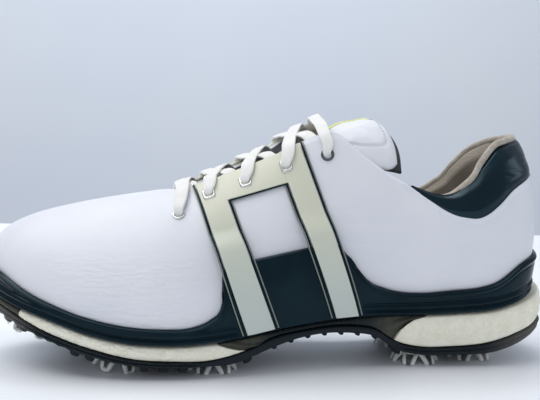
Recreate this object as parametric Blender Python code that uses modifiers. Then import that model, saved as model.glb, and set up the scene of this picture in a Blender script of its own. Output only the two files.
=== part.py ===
"""Golf shoe, left foot, men's size, built as separate pieces that come apart on a bench.

Toe towards -X, heel towards +X, lateral (outer) side towards -Y, cleat tips on z = 0.
Lengths below are in millimetres and are turned into metres by MM.
"""
import math

import bmesh
import bpy
import numpy as np
from mathutils import Matrix, Vector

MM = 0.001

# ---- driving dimensions (mm) -------------------------------------------------------------
SOLE_MID_X = 1.0            # middle of the sole outline
SOLE_HALF_LENGTH = 154.0
FEATHER_INSET = 4.0         # the upper starts this far inside the sole outline
LAYER_GAP = 0.7             # space between layers that are glued on the real shoe
FRAME_LIFT = 1.0            # the frame stands this far off the leather
LEATHER = 1.6
COUNTER = 0.8
LINING = 1.2
FRAME = 2.2
STRAP = 1.3
COLLAR_PAD = 2.6
CLEAT_RADIUS = 13.0         # to the leg tips
CLEAT_HEIGHT = 6.6          # from the outsole down to the leg tips
STEEP = 0.145               # sole slope past which a cleat tilts with the sole
CLEAT_FLANGE_RADIUS = 9.2
CLEAT_FLANGE = 1.8
CLEAT_STUD_RADIUS = 4.0
RECEPTACLE_RADIUS = 9.6
RECEPTACLE_DEPTH = 1.5
FIT = 0.3                   # gap between faces that touch
TAB_LEAN = 2.5              # how much higher the tab's medial edge is, and lower its lateral one
LACE_WIDTH = 5.2
LACE_THICKNESS = 0.9
LACE_LIFT = 3.2             # from the eyestay to a low lace, and from a low lace to a high one
THROAT_SLOPE = math.radians(22)

# Sole outline: (place along the sole from toe 0 to heel 1, lateral y, medial y).
OUTLINE = [(0.0, 5.0, 5.0), (0.1, -15.5, 25.0), (0.2, -37.0, 40.5), (0.3, -50.5, 48.0),
           (0.4, -53.5, 46.0), (0.5, -45.0, 35.0), (0.6, -37.0, 30.0), (0.7, -36.5, 33.0),
           (0.8, -35.5, 34.0), (0.9, -24.0, 23.5), (1.0, 0.0, 0.0)]
# Heights along the sole, (x, z): top of the foam, top and underside of the outsole.
FOAM_TOP = [(-156, 40.5), (-131, 32.7), (-112, 27.4), (-94, 22.0), (-77, 18.5), (-53, 16.9), (-24, 18.6),
            (10, 24.2), (46, 27.6), (75, 28.2), (98, 29.1), (117, 30.5), (132, 33.8), (146, 38.6),
            (158, 42.5)]
OUTSOLE_TOP = [(-156, 37.6), (-134, 29.8), (-118, 23.0), (-106, 19.0), (-92, 15.0), (-72, 10.8),
               (-53, 9.6), (-34, 9.6), (-18, 13.0), (0, 20.0), (14, 22.4), (40, 23.8), (54, 21.4),
               (66, 14.4), (78, 11.6), (92, 11.4), (118, 14.0), (128, 16.8), (141, 21.0), (151, 25.0),
               (158, 29.0)]
OUTSOLE_BASE = [(-156, 33.0), (-134, 24.7), (-115, 17.8), (-95, 11.8), (-77, 8.0), (-53, 6.6),
                (-34, 6.6), (-22, 7.3), (-12, 10.6), (0, 15.0), (14, 18.9), (40, 19.8), (54, 17.2),
                (66, 9.8), (78, 7.0), (92, 6.6), (104, 6.8), (118, 7.8), (130, 10.8), (141, 15.0),
                (151, 20.5), (158, 25.0)]
FOREFOOT_FOAM_END = -23.0
HEEL_FOAM_START = 68.0

# The upper's surface runs over a loop: 0 heel, 0.25 lateral waist, 0.5 toe. Medial mirrors it.
# First handle, relative to the feather edge: (loop, x, outward, z).
LOWER_HANDLE = [(0.0, 2.5, 0, 27), (0.05, 2.5, 5, 27), (0.1, 3, 8, 29), (0.15, -3, 10.5, 26),
                (0.2, -9, 11, 28), (0.25, -12, 11, 30), (0.3, -10, 10, 28), (0.35, -8, 9, 28),
                (0.4, -9, 7, 31), (0.45, -9, 3, 36), (0.5, -9, 0, 38)]
# Second handle: (loop, x, outward, z).
UPPER_HANDLE = [(0.0, 152, 0, 92), (0.05, 145.5, 24, 92), (0.1, 121, 33.5, 91), (0.13, 102, 36.5, 82),
                (0.15, 83, 37.5, 80), (0.175, 48, 37, 90), (0.2, 23, 36, 96), (0.25, -24, 38, 88),
                (0.3, -59, 38, 80), (0.35, -90, 29, 80), (0.4, -110, 19, 80), (0.45, -121, 9.5, 80),
                (0.5, -125, 0, 80)]
# Topline, collar then eyestay then throat: (loop, x, outward, z).
TOPLINE = [(0.0, 138.5, 0, 122.0), (0.03, 134.5, 10, 121.6), (0.06, 126, 18, 120.3),
           (0.09, 116.5, 23.5, 116.5), (0.11, 109.5, 26.5, 108.5), (0.13, 101.5, 29.5, 98.0),
           (0.14, 92, 30.5, 92.6), (0.15, 80, 31, 93.9), (0.16, 62, 30, 101.6), (0.17, 46, 27, 112.4),
           (0.18, 33, 23.5, 122.9), (0.19, 24, 21, 122.7), (0.2045, 13, 19, 118.1),
           (0.2177, 2, 17.6, 111.8), (0.2515, -28, 15, 98.7), (0.2665, -41, 13.5, 94.0),
           (0.3, -48.5, 10.5, 92.8), (0.35, -51.5, 7.5, 92.5), (0.4, -53, 5, 92.3),
           (0.45, -53.8, 2.5, 92.0), (0.5, -54, 0, 91.8)]
TOE_LEAN = 4.0              # the toe's crown leans to the medial side by this much

CENTRE_X, CENTRE_Y = 1.36, -2.74     # middle of the finished shoe, which becomes the origin

# Places on the loop.
STRAP_FRONT = (0.2515, 0.2665)
STRAP_REAR = (0.2045, 0.2177)
COLLAR_FRONT = 0.157
VAMP_EDGE = 0.259
# Top edge of the TPU frame: (loop, share of the upper's height).
HEEL_TUCK = [(0.0, 5.8), (0.03, 5.5), (0.06, 4.2), (0.09, 2.0), (0.12, 0), (0.2, 0), (0.5, 0)]
MEDIAL_RISE = [(0.0, 0), (0.05, -1.5), (0.09, -5), (0.125, -4), (0.155, 0), (0.18, 4.0), (0.2, 3.5),
               (0.23, 1.5), (0.26, 0), (0.5, 0)]
FRAME_EDGE = [(0.0, 0.264), (0.03, 0.263), (0.055, 0.26), (0.0756, 0.255), (0.086, 0.244), (0.095, 0.223),
              (0.1095, 0.188), (0.129, 0.17), (0.148, 0.168), (0.166, 0.153), (0.176, 0.156),
              (0.185, 0.177), (0.193, 0.22), (0.1985, 0.3), (0.2015, 0.385), (0.2045, 0.42),
              (0.2177, 0.412), (0.235, 0.403), (0.2515, 0.4), (0.262, 0.4), (0.267, 0.375),
              (0.2694, 0.33), (0.2715, 0.25), (0.2744, 0.195), (0.2828, 0.135), (0.2928, 0.109),
              (0.3087, 0.104), (0.3237, 0.106), (0.352, 0.106), (0.376, 0.105), (0.394, 0.113),
              (0.4133, 0.131), (0.4303, 0.145), (0.46, 0.15), (0.5, 0.15)]
# Lower edge of the padded collar panel: (loop, share of height).
COLLAR_EDGE = [(0.0, 0.8), (0.03, 0.785), (0.0472, 0.765), (0.0846, 0.703), (0.104, 0.655),
               (0.117, 0.647), (0.1289, 0.675), (0.1369, 0.733), (0.1459, 0.83), (0.1513, 0.902),
               (0.157, 0.985)]
EYELETS = [("round", 0.291, 0.765), ("square", 0.2605, 0.85), ("square", 0.239, 0.862),
           ("square", 0.2155, 0.872), ("round", 0.1905, 0.882)]

# Cleats: (name, x, y). The lateral row, the medial row, the toe and the heel.
CLEATS = [("toe", -126, 0), ("ball_lateral_front", -80, -27), ("ball_lateral_rear", -32, -31),
          ("ball_medial_front", -98, 30), ("ball_medial_mid", -62, 30), ("ball_medial_rear", -28, 26),
          ("ball_centre", -55, 0), ("heel_lateral", 80, -19), ("heel_medial", 79, 17.5),
          ("heel_rear", 113, -12)]
HINGE_X, HINGE_Z = 30.0, 115.0       # tongue tab folds about this line


# ---- curves and surfaces -----------------------------------------------------------------
def smooth(keys, at):
    """Cubic through keys [(place, value, ...)], tangents from the neighbours."""
    keys = np.array(keys, float)
    place, value = keys[:, 0], keys[:, 1:]
    slope = np.gradient(value, place, axis=0)
    i = int(np.clip(np.searchsorted(place, at) - 1, 0, len(place) - 2))
    step = place[i + 1] - place[i]
    u = min(max((at - place[i]) / step, 0.0), 1.0)
    hermite = ((1 + 2 * u) * (1 - u) ** 2 * value[i] + u * (1 - u) ** 2 * step * slope[i]
               + u * u * (3 - 2 * u) * value[i + 1] + u * u * (u - 1) * step * slope[i + 1])
    return hermite if len(hermite) > 1 else float(hermite[0])


def straight(keys, at):
    places, values = zip(*keys)
    return float(np.interp(at, places, values))


def sole_x(s):
    return SOLE_MID_X - SOLE_HALF_LENGTH * math.cos(math.pi * s)


def sole_s(x):
    return math.acos(min(max((SOLE_MID_X - x) / SOLE_HALF_LENGTH, -1.0), 1.0)) / math.pi


def sole_edge(s, side, inset=0.0):
    """A point on the sole's outline, side 0 lateral or 1 medial, moved inwards."""
    x = sole_x(s)
    y = smooth(OUTLINE, s)[side]
    if inset:
        step = 0.004
        low, high = max(s - step, 0.0), min(s + step, 1.0)
        along = Vector((sole_x(high) - sole_x(low),
                        smooth(OUTLINE, high)[side] - smooth(OUTLINE, low)[side]))
        if s <= 0 or s >= 1:
            along = Vector((0.0, 1.0 if (side == 1) == (s <= 0) else -1.0))
        along.normalize()
        turn = -1 if side == 0 else 1
        x += inset * along.y * turn
        y -= inset * along.x * turn
    return x, y


def fold(loop):
    """Loop place to (place on the lateral half, side sign, side index)."""
    loop = loop % 1.0
    return (loop, -1.0, 0) if loop <= 0.5 else (1.0 - loop, 1.0, 1)


def feather(loop):
    half, _, side = fold(loop)
    x, y = sole_edge(1.0 - 2.0 * half, side, FEATHER_INSET)
    return Vector((x - smooth(HEEL_TUCK, half), y, smooth(FOAM_TOP, x) + LAYER_GAP))


def upper_point(loop, height):
    half, sign, _ = fold(loop)
    base = feather(loop)
    dx, out, dz = smooth(LOWER_HANDLE, half)
    low = base + Vector((dx, sign * out, dz))
    x, out, z = smooth(UPPER_HANDLE, half)
    high = Vector((x, sign * out + TOE_LEAN * max(0.0, -x - 60.0) / 65.0, z))
    x, out, z = smooth(TOPLINE, half)
    rise = smooth(MEDIAL_RISE, half) if sign > 0 else 0.0
    top = Vector((x, sign * out, z + rise))
    u = height
    return ((1 - u) ** 3 * base + 3 * u * (1 - u) ** 2 * low
            + 3 * u * u * (1 - u) * high + u ** 3 * top)


def upper_normal(loop, height):
    step_t, step_h = 0.004, 0.01
    low, high = max(height - step_h, 0.0), min(height + step_h, 1.0)
    up = upper_point(loop, high) - upper_point(loop, low)
    along = upper_point(loop + step_t, height) - upper_point(loop - step_t, height)
    return up.cross(along).normalized()


def on_upper(loop, height, offset=0.0):
    return upper_point(loop, height) + upper_normal(loop, height) * offset


def spread(start, end, count):
    return [start + (end - start) * i / (count - 1) for i in range(count)]


SOLE_PLACES = spread(0.012, 0.988, 46)


# ---- making objects ----------------------------------------------------------------------
def make_material(name, colour, roughness, metallic=0.0):
    material = bpy.data.materials.new(name)
    material.use_nodes = True
    shader = material.node_tree.nodes["Principled BSDF"]
    shader.inputs["Base Color"].default_value = (*colour, 1.0)
    shader.inputs["Roughness"].default_value = roughness
    shader.inputs["Metallic"].default_value = metallic
    material.diffuse_color = (*colour, 1.0)
    return material


def point_outwards(mesh):
    work = bmesh.new()
    work.from_mesh(mesh)
    bmesh.ops.recalc_face_normals(work, faces=work.faces)
    work.to_mesh(mesh)
    work.free()


def add_mesh(name, verts, faces, material, collection, parent=None, origin=(0, 0, 0)):
    """Mesh object from millimetre points; its origin is a millimetre point too."""
    origin = Vector(origin)
    mesh = bpy.data.meshes.new(name)
    mesh.from_pydata([(Vector(v) - origin) * MM for v in verts], [], faces)
    point_outwards(mesh)
    mesh.shade_smooth()
    mesh.set_sharp_from_angle(angle=math.radians(40))
    item = bpy.data.objects.new(name, mesh)
    item.location = origin * MM
    item.data.materials.append(material)
    collection.objects.link(item)
    if parent:
        item.parent = parent
        item.location = origin * MM - parent.location
    return item


def thicken(item, thickness):
    """Solidify outwards from the modelled surface."""
    modifier = item.modifiers.new("thickness", "SOLIDIFY")
    modifier.thickness = thickness * MM
    modifier.offset = 1.0
    modifier.use_even_offset = False
    return item


def grid_faces(rows, columns, keep=lambda r, c: True):
    return [(r * columns + c, r * columns + c + 1, (r + 1) * columns + c + 1, (r + 1) * columns + c)
            for r in range(rows - 1) for c in range(columns - 1) if keep(r, c)]


def upper_patch(name, loops, lower, upper, rows, offset, thickness, material, collection,
                keep=lambda r, c: True):
    """A shell over the upper: loops are its columns, lower and upper give its edges."""
    verts = []
    for row in range(rows):
        share = row / (rows - 1)
        for loop in loops:
            low, high = lower(loop), upper(loop)
            height = low + (high - low) * share
            lift = offset(height) if callable(offset) else offset
            verts.append(on_upper(loop, height, lift))
    faces = grid_faces(rows, len(loops), keep)
    mesh = bmesh.new()
    points = [mesh.verts.new(v * MM) for v in verts]
    for face in faces:
        mesh.faces.new([points[i] for i in reversed(face)])
    loose = [v for v in mesh.verts if not v.link_faces]
    bmesh.ops.delete(mesh, geom=loose, context="VERTS")
    bmesh.ops.remove_doubles(mesh, verts=mesh.verts, dist=0.00001)
    data = bpy.data.meshes.new(name)
    mesh.to_mesh(data)
    mesh.free()
    data.shade_smooth()
    item = bpy.data.objects.new(name, data)
    data.materials.append(material)
    collection.objects.link(item)
    return thicken(item, thickness)


def loft(name, sections, material, collection, **placing):
    """Closed body through rings of equal length, capped at both ends."""
    count = len(sections[0])
    verts = [v for ring in sections for v in ring]
    faces = [tuple(reversed(range(count)))]
    for i in range(len(sections) - 1):
        a, b = i * count, (i + 1) * count
        faces += [(a + j, a + (j + 1) % count, b + (j + 1) % count, b + j) for j in range(count)]
    faces.append(tuple(range((len(sections) - 1) * count, len(verts))))
    return add_mesh(name, verts, faces, material, collection, **placing)


def slab_ring(s, inset, bottom, top, bulge=0.0):
    """Section of a sole slab: flat top and bottom, side walls that may swell."""
    x_lat, lat = sole_edge(s, 0, inset)
    x_med, med = sole_edge(s, 1, inset)
    low_lat, low_med = bottom(x_lat), bottom(x_med)
    top_lat, top_med = top(x_lat), top(x_med)
    ring = [(x_lat, lat, low_lat), (x_lat, lat - bulge, (low_lat + top_lat) / 2), (x_lat, lat, top_lat),
            (x_med, med, top_med), (x_med, med + bulge, (low_med + top_med) / 2), (x_med, med, low_med)]
    return ring


def sole_slab(name, start, end, inset, bottom, top, material, collection, bulge=0.0):
    places = [start] + [p for p in SOLE_PLACES if start + 0.004 < p < end - 0.004] + [end]
    rings = [slab_ring(s, inset, bottom, top, bulge) for s in places]
    return loft(name, rings, material, collection)


def turned(name, profile, steps, material, collection, matrix):
    """A profile of (radius, z), outer side listed top to bottom, turned about its own Z."""
    mesh = bmesh.new()
    points = [mesh.verts.new((radius * MM, 0, z * MM)) for radius, z in profile]
    ends = list(zip(points, points[1:]))
    if profile[0][0] > 0:
        ends.append((points[-1], points[0]))
    for pair in ends:
        mesh.edges.new(pair)
    data = bpy.data.meshes.new(name)
    mesh.to_mesh(data)
    mesh.free()
    item = bpy.data.objects.new(name, data)
    data.materials.append(material)
    collection.objects.link(item)
    screw = item.modifiers.new("turn", "SCREW")
    screw.axis = "Z"
    screw.steps = screw.render_steps = steps
    screw.use_merge_vertices = True
    screw.merge_threshold = 0.00001
    item.matrix_world = matrix
    return item


# ---- sub-parts ---------------------------------------------------------------------------
def full_loop(count):
    """Loop places all round, closing on themselves."""
    return [i / count for i in range(count + 1)]


def frame_height(loop):
    return smooth(FRAME_EDGE, fold(loop)[0])


def collar_height(loop):
    return smooth(COLLAR_EDGE, fold(loop)[0])


def strap_lift(height):
    """Straps lie on the leather, then climb over the frame."""
    over_frame = FRAME_LIFT + FRAME + LAYER_GAP
    return straight([(0.0, over_frame), (0.48, over_frame), (0.58, LAYER_GAP), (1.0, LAYER_GAP)], height)


def build_sole(mats, parts):
    outsole_top = lambda x: smooth(OUTSOLE_TOP, x)
    outsole_base = lambda x: smooth(OUTSOLE_BASE, x)
    foam_top = lambda x: smooth(FOAM_TOP, x)
    items = {}
    items["outsole"] = sole_slab("outsole", 0.012, 0.988, 1.2, outsole_base,
                                 lambda x: outsole_top(x) - 2 * FIT, mats["outsole"], parts, 0.8)
    fore_end, heel_start = sole_s(FOREFOOT_FOAM_END), sole_s(HEEL_FOAM_START)
    items["forefoot_midsole"] = sole_slab("forefoot_midsole", 0.02, fore_end, 1.6, outsole_top,
                                          lambda x: foam_top(x) - FIT, mats["foam"], parts, 1.2)
    items["midfoot_bridge"] = sole_slab("midfoot_bridge", sole_s(FOREFOOT_FOAM_END + FIT * 2),
                                        sole_s(HEEL_FOAM_START - FIT * 2), 2.0, outsole_top,
                                        lambda x: foam_top(x) - FIT, mats["smoke"], parts, 0.6)
    items["heel_midsole"] = sole_slab("heel_midsole", heel_start, 0.985, 0.6, outsole_top,
                                      lambda x: foam_top(x) - FIT, mats["foam"], parts, 2.2)
    board_inset = FEATHER_INSET + LEATHER + COUNTER + LINING + 2.6
    items["insole_board"] = sole_slab("insole_board", 0.06, 0.915, board_inset,
                                      lambda x: foam_top(x) + FIT, lambda x: foam_top(x) + 1.9,
                                      mats["board"], parts)
    items["sockliner"] = sole_slab("sockliner", 0.07, 0.865, board_inset + 1.6,
                                   lambda x: foam_top(x) + 2.3, lambda x: foam_top(x) + 6.8,
                                   mats["sockliner"], parts)
    return items


def build_upper(mats, parts):
    top = lambda loop: 1.0
    bottom = lambda loop: 0.0
    leather = lambda name, loops, low, high, rows: upper_patch(
        name, loops, low, high, rows, -LEATHER, LEATHER, mats["leather"], parts)
    leather("vamp", spread(VAMP_EDGE + 0.0015, 1 - VAMP_EDGE - 0.0015, 31), bottom, top, 9)
    split = lambda loop: 1.0 if fold(loop)[0] > COLLAR_FRONT + 0.001 else collar_height(loop) - 0.03
    leather("quarter_lateral", spread(0.0015, COLLAR_FRONT, 16) + spread(0.163, VAMP_EDGE - 0.0015, 11),
            bottom, split, 8)
    leather("quarter_medial", spread(1 - VAMP_EDGE + 0.0015, 1 - 0.163, 11)
            + spread(1 - COLLAR_FRONT, 1 - 0.0015, 16), bottom, split, 8)
    upper_patch("collar_panel", spread(-COLLAR_FRONT, COLLAR_FRONT, 37), lambda loop: collar_height(loop),
                lambda loop: 0.955 if fold(loop)[0] < 0.145 else 0.99, 5, -LEATHER, COLLAR_PAD,
                mats["collar"], parts)
    counter_lift = -LEATHER - COUNTER - LAYER_GAP
    upper_patch("heel_counter", spread(-0.11, 0.11, 23), lambda loop: 0.05, lambda loop: 0.5, 4,
                counter_lift, COUNTER, mats["board"], parts)
    upper_patch("toe_puff", spread(0.4, 0.6, 15), lambda loop: 0.05, lambda loop: 0.55, 5,
                counter_lift, COUNTER, mats["board"], parts)
    lining_lift = counter_lift - LAYER_GAP - LINING
    upper_patch("lining", full_loop(56), lambda loop: 0.03, lambda loop: 0.97, 8,
                lining_lift, LINING, mats["lining"], parts)


def build_frame(mats, parts):
    marks = [0.0, 0.012, 0.025, 0.045, 0.065, 0.085, 0.105, 0.125, 0.145, 0.16, 0.175, 0.182, 0.188, 0.193,
             0.198, 0.2045, 0.2177, 0.235, 0.2515, 0.259, 0.2665, 0.2685, 0.272, 0.28, 0.3, 0.325, 0.35,
             0.38, 0.41, 0.44, 0.47, 0.5]
    loops = marks + [1.0 - mark for mark in reversed(marks[:-1])]
    upper_patch("tpu_frame", loops, lambda loop: 0.03, frame_height, 5, FRAME_LIFT, FRAME,
                mats["tpu"], parts)


def build_straps(mats, parts):
    """Forked saddle strap on each side: a yoke that carries the eyelets, and two legs."""
    rear, front = STRAP_REAR, STRAP_FRONT
    inner = spread(rear[1], front[0], 5)
    half = [rear[0], (rear[0] + rear[1]) / 2] + inner + [(front[0] + front[1]) / 2, front[1]]
    yoke_row = 7
    legs = (0, 1, len(half) - 3, len(half) - 2)
    for name, loops in (("saddle_strap_lateral", half), ("saddle_strap_medial", [1 - p for p in half][::-1])):
        keep = lambda r, c: r >= yoke_row or c in legs
        upper_patch(name, loops, lambda loop: 0.03, lambda loop: 0.985, 10, strap_lift, STRAP,
                    mats["strap"], parts, keep)


def eyelet_place(loop, height, lift):
    """Matrix with Z out of the upper and X along the loop."""
    z = upper_normal(loop, height)
    x = upper_point(loop + 0.004, height) - upper_point(loop - 0.004, height)
    x = (x - z * x.dot(z)).normalized()
    y = z.cross(x)
    place = on_upper(loop, height, lift)
    matrix = Matrix((x, y, z)).transposed().to_4x4()
    matrix.translation = place * MM
    return matrix


def build_eyelets(mats, parts):
    for side, name in ((0, "lateral"), (1, "medial")):
        for number, (shape, loop, height) in enumerate(EYELETS, 1):
            loop = loop if side == 0 else 1.0 - loop
            on_strap = shape == "square"
            lift = LAYER_GAP + (STRAP + FIT * 2 if on_strap else FIT)
            outer, inner, tall = (4.4, 2.4, 1.2) if on_strap else (3.6, 2.0, 1.2)
            steps = 4 if on_strap else 12
            profile = [(inner, tall), (outer, tall * 0.7), (outer, 0.0), (inner, 0.0)]
            turn = Matrix.Rotation(math.radians(45 if on_strap else 0), 4, "Z")
            turned(f"eyelet_{name}_{number}", profile, steps, mats["metal"], parts,
                   eyelet_place(loop, height, lift) @ turn)


def tongue_ring(loop, depth_top, depth_low):
    """Section of the tongue: it follows the inside of both eyestays and bridges the throat."""
    side_heights = (0.87, 0.93, 0.985)
    outer = [on_upper(loop, h, -depth_top) for h in side_heights]
    outer += [on_upper(1 - loop, h, -depth_top) for h in reversed(side_heights)]
    inner = [on_upper(loop, h, -depth_low) for h in side_heights]
    inner += [on_upper(1 - loop, h, -depth_low) for h in reversed(side_heights)]
    middle = (outer[2] + outer[3]) / 2 + Vector((0, 0, 0.6))
    low_middle = (inner[2] + inner[3]) / 2
    ring = outer[:3] + [middle] + outer[3:] + inner[3:][::-1] + [low_middle] + inner[:3][::-1]
    return ring


def build_tongue(mats, parts):
    depth = LEATHER + COUNTER + LINING + LAYER_GAP * 3 + 0.4
    places = spread(0.31, 0.194, 10)
    rings = [tongue_ring(loop, depth, depth + 3.6) for loop in places]
    loft("tongue", rings, mats["tongue"], parts)


def tab_ring(share):
    """Section of the padded tongue tab, from the hinge to its free edge."""
    x = straight([(0, 30), (0.15, 34), (0.5, 46), (0.85, 58), (1, 62)], share)
    z = straight([(0, 120), (0.15, 125), (0.5, 129.5), (0.85, 129), (1, 126)], share)
    half = straight([(0, 17), (0.15, 19.5), (0.5, 21.5), (0.85, 22), (1, 19)], share)
    thick = straight([(0, 3), (0.15, 5), (0.5, 6.5), (0.85, 6.0), (1, 3)], share)
    drop = straight([(0, 8), (0.15, 9.5), (0.5, 15), (0.85, 17), (1, 14)], share)
    back = straight([(0, 0), (0.5, 2.0), (1, 4.5)], share)
    spans = spread(-1.0, 1.0, 9)
    outer = [(x + back * s * s, half * s, z - drop * s * s + TAB_LEAN * s) for s in spans]
    inner = [(x - 0.5 + back * s * s, (half - 2.0) * s,
              z - drop * s * s + TAB_LEAN * s - thick * (1.0 - 0.3 * s * s)) for s in reversed(spans)]
    return outer + inner


def build_tab(mats, parts, hinge):
    rings = [tab_ring(share) for share in (0.0, 0.15, 0.35, 0.6, 0.85, 1.0)]
    tab = loft("tongue_tab", rings, mats["leather"], parts, parent=hinge, origin=(HINGE_X, 0, HINGE_Z))
    return tab


def build_collar_piping(mats, parts):
    """Soft piping along the topline between the collar panel and the lining."""
    points = [upper_point(loop, 1.0) + Vector((0, 0, 2.6)) for loop in spread(-0.178, 0.178, 45)]
    curve = bpy.data.curves.new("collar_piping", "CURVE")
    curve.dimensions = "3D"
    curve.bevel_depth = 1.7 * MM
    curve.bevel_resolution = 1
    curve.use_fill_caps = True
    spline = curve.splines.new("POLY")
    spline.points.add(len(points) - 1)
    for slot, point in zip(spline.points, points):
        slot.co = (*(point * MM), 1.0)
    item = bpy.data.objects.new("collar_piping", curve)
    curve.materials.append(mats["lining"])
    parts.objects.link(item)


def lace_run(name, start_eyelet, end_eyelet, rise, arch, mats, parts):
    """One flat crossing of the lace; an eyelet here is (number, side, lift)."""
    ends = []
    for number, side, lift in (start_eyelet, end_eyelet):
        _, loop, height = EYELETS[number]
        loop = loop if side == 0 else 1.0 - loop
        inwards = (upper_point(loop, height + 0.05) - upper_point(loop, height)).normalized()
        ends.append((on_upper(loop, height, lift), inwards, upper_normal(loop, height)))
    (start, start_way, start_up), (end, end_way, end_up) = ends
    handle = arch * (end - start).length
    points = (start, start + start_way * handle, end + end_way * handle, end)
    throat_up = Vector((-math.sin(THROAT_SLOPE), 0, math.cos(THROAT_SLOPE)))
    sections = []
    for share in spread(0.0, 1.0, 11):
        u, v = share, 1 - share
        middle = math.sin(math.pi * share) ** 2
        up = (start_up * v + end_up * u).lerp(throat_up, middle).normalized()
        centre = (points[0] * v ** 3 + points[1] * 3 * u * v * v + points[2] * 3 * u * u * v
                  + points[3] * u ** 3) + throat_up * rise * middle ** 2
        along = ((points[1] - points[0]) * v * v + (points[2] - points[1]) * 2 * u * v
                 + (points[3] - points[2]) * u * u).normalized()
        wide = along.cross(up).normalized()
        normal = wide.cross(along).normalized()
        w, t = wide * LACE_WIDTH / 2, normal * LACE_THICKNESS / 2
        sections.append([centre - w - t, centre + w - t, centre + w + t, centre - w + t])
    loft(name, sections, mats["lace"], parts)


def build_lace(mats, parts):
    """Over-and-under crossings: each run leaves one eyelet high and reaches the next one low."""
    low = LAYER_GAP + STRAP + LACE_LIFT
    high = low + LACE_LIFT
    lace_run("lace_bar", (0, 0, low), (0, 1, low), 0.4, 0.31, mats, parts)
    lace_run("lace_top_bar", (4, 0, high + LAYER_GAP), (4, 1, high + LAYER_GAP), 1.0, 0.36, mats, parts)
    for number in range(4):
        for side, name, rise in ((0, "to_medial", 0.5), (1, "to_lateral", 4.8)):
            lace_run(f"lace_{number + 1}_{name}", (number, side, high), (number + 1, 1 - side, low),
                     rise, 0.26 + 0.025 * number, mats, parts)


def cleat_matrix(x, y):
    """Cleats that bear on the ground stand upright; those on the toe spring follow the sole."""
    slope = (smooth(OUTSOLE_BASE, x + 4) - smooth(OUTSOLE_BASE, x - 4)) / 8.0
    if abs(slope) < STEEP:
        return Matrix.Translation(Vector((x, y, CLEAT_HEIGHT)) * MM)
    matrix = Matrix.Rotation(-math.atan(slope), 4, "Y")
    matrix.translation = Vector((x, y, smooth(OUTSOLE_BASE, x) + 0.5)) * MM
    return matrix


def cleat_mesh(material, leg_tip_z):
    """Flange, stud and six splayed legs as one body, axis on Z, leg roots on z = 0."""
    mesh = bmesh.new()
    wide = math.radians(42)
    angles = []
    for leg in range(6):
        middle = leg * math.pi / 3
        angles += [middle - wide / 2, middle + wide / 2]
    ring = lambda radius, z: [mesh.verts.new((radius * MM * math.cos(a), radius * MM * math.sin(a), z * MM))
                              for a in angles]
    stud_top, stud_root = ring(CLEAT_STUD_RADIUS, 1.6), ring(CLEAT_STUD_RADIUS, -0.4)
    rim_top, rim_low = ring(CLEAT_FLANGE_RADIUS, -0.4), ring(CLEAT_FLANGE_RADIUS, -0.4 - CLEAT_FLANGE)
    mesh.faces.new(stud_top)
    mesh.faces.new(list(reversed(rim_low)))
    for first, second in ((stud_root, stud_top), (rim_top, stud_root), (rim_low, rim_top)):
        for k in range(12):
            nxt = (k + 1) % 12
            mesh.faces.new((first[k], first[nxt], second[nxt], second[k]))
    mesh.faces.ensure_lookup_table()
    mesh.verts.index_update()
    mesh.normal_update()
    sides = [f for f in mesh.faces if abs(f.normal.z) < 0.1
             and f.calc_center_median().xy.length > 6 * MM and f.calc_area() > 9 * MM * MM]
    for face in sides:
        made = bmesh.ops.extrude_discrete_faces(mesh, faces=[face])["faces"][0]
        out = Vector((made.normal.x, made.normal.y, 0)).normalized()
        tangent = Vector((-out.y, out.x, 0))
        reach = (CLEAT_RADIUS - 0.6) * MM
        for v in made.verts:
            side = 1 if v.co.dot(tangent) > 0 else -1
            upper_edge = v.co.z > (-0.5 - CLEAT_FLANGE / 2) * MM
            radius = reach + (0.6 * MM if upper_edge else -0.9 * MM)
            v.co = out * radius + tangent * side * 1.7 * MM
            v.co.z = leg_tip_z * MM
    bmesh.ops.recalc_face_normals(mesh, faces=mesh.faces)
    data = bpy.data.meshes.new("cleat")
    mesh.to_mesh(data)
    mesh.free()
    data.materials.append(material)
    return data


def build_cleats(mats, parts, outsole, cutters):
    shape = cleat_mesh(mats["cleat"], -CLEAT_HEIGHT)
    for name, x, y in CLEATS:
        place = cleat_matrix(x, y)
        pocket = turned(f"pocket_{name}", [(0.0, RECEPTACLE_DEPTH + FIT), (RECEPTACLE_RADIUS + FIT,
                        RECEPTACLE_DEPTH + FIT), (RECEPTACLE_RADIUS + FIT, -4.0), (0.0, -4.0)],
                        20, mats["metal"], cutters, place)
        pocket.hide_render = True
        pocket.display_type = "WIRE"
        cut = outsole.modifiers.new(f"pocket_{name}", "BOOLEAN")
        cut.operation = "DIFFERENCE"
        cut.object = pocket
        turned(f"receptacle_{name}", [(CLEAT_STUD_RADIUS + FIT, RECEPTACLE_DEPTH),
               (RECEPTACLE_RADIUS, RECEPTACLE_DEPTH), (RECEPTACLE_RADIUS, 0.0),
               (CLEAT_STUD_RADIUS + FIT, 0.0)], 16, mats["receptacle"], parts, place)
        cleat = bpy.data.objects.new(f"cleat_{name}", shape)
        parts.objects.link(cleat)
        cleat.matrix_world = place


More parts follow.
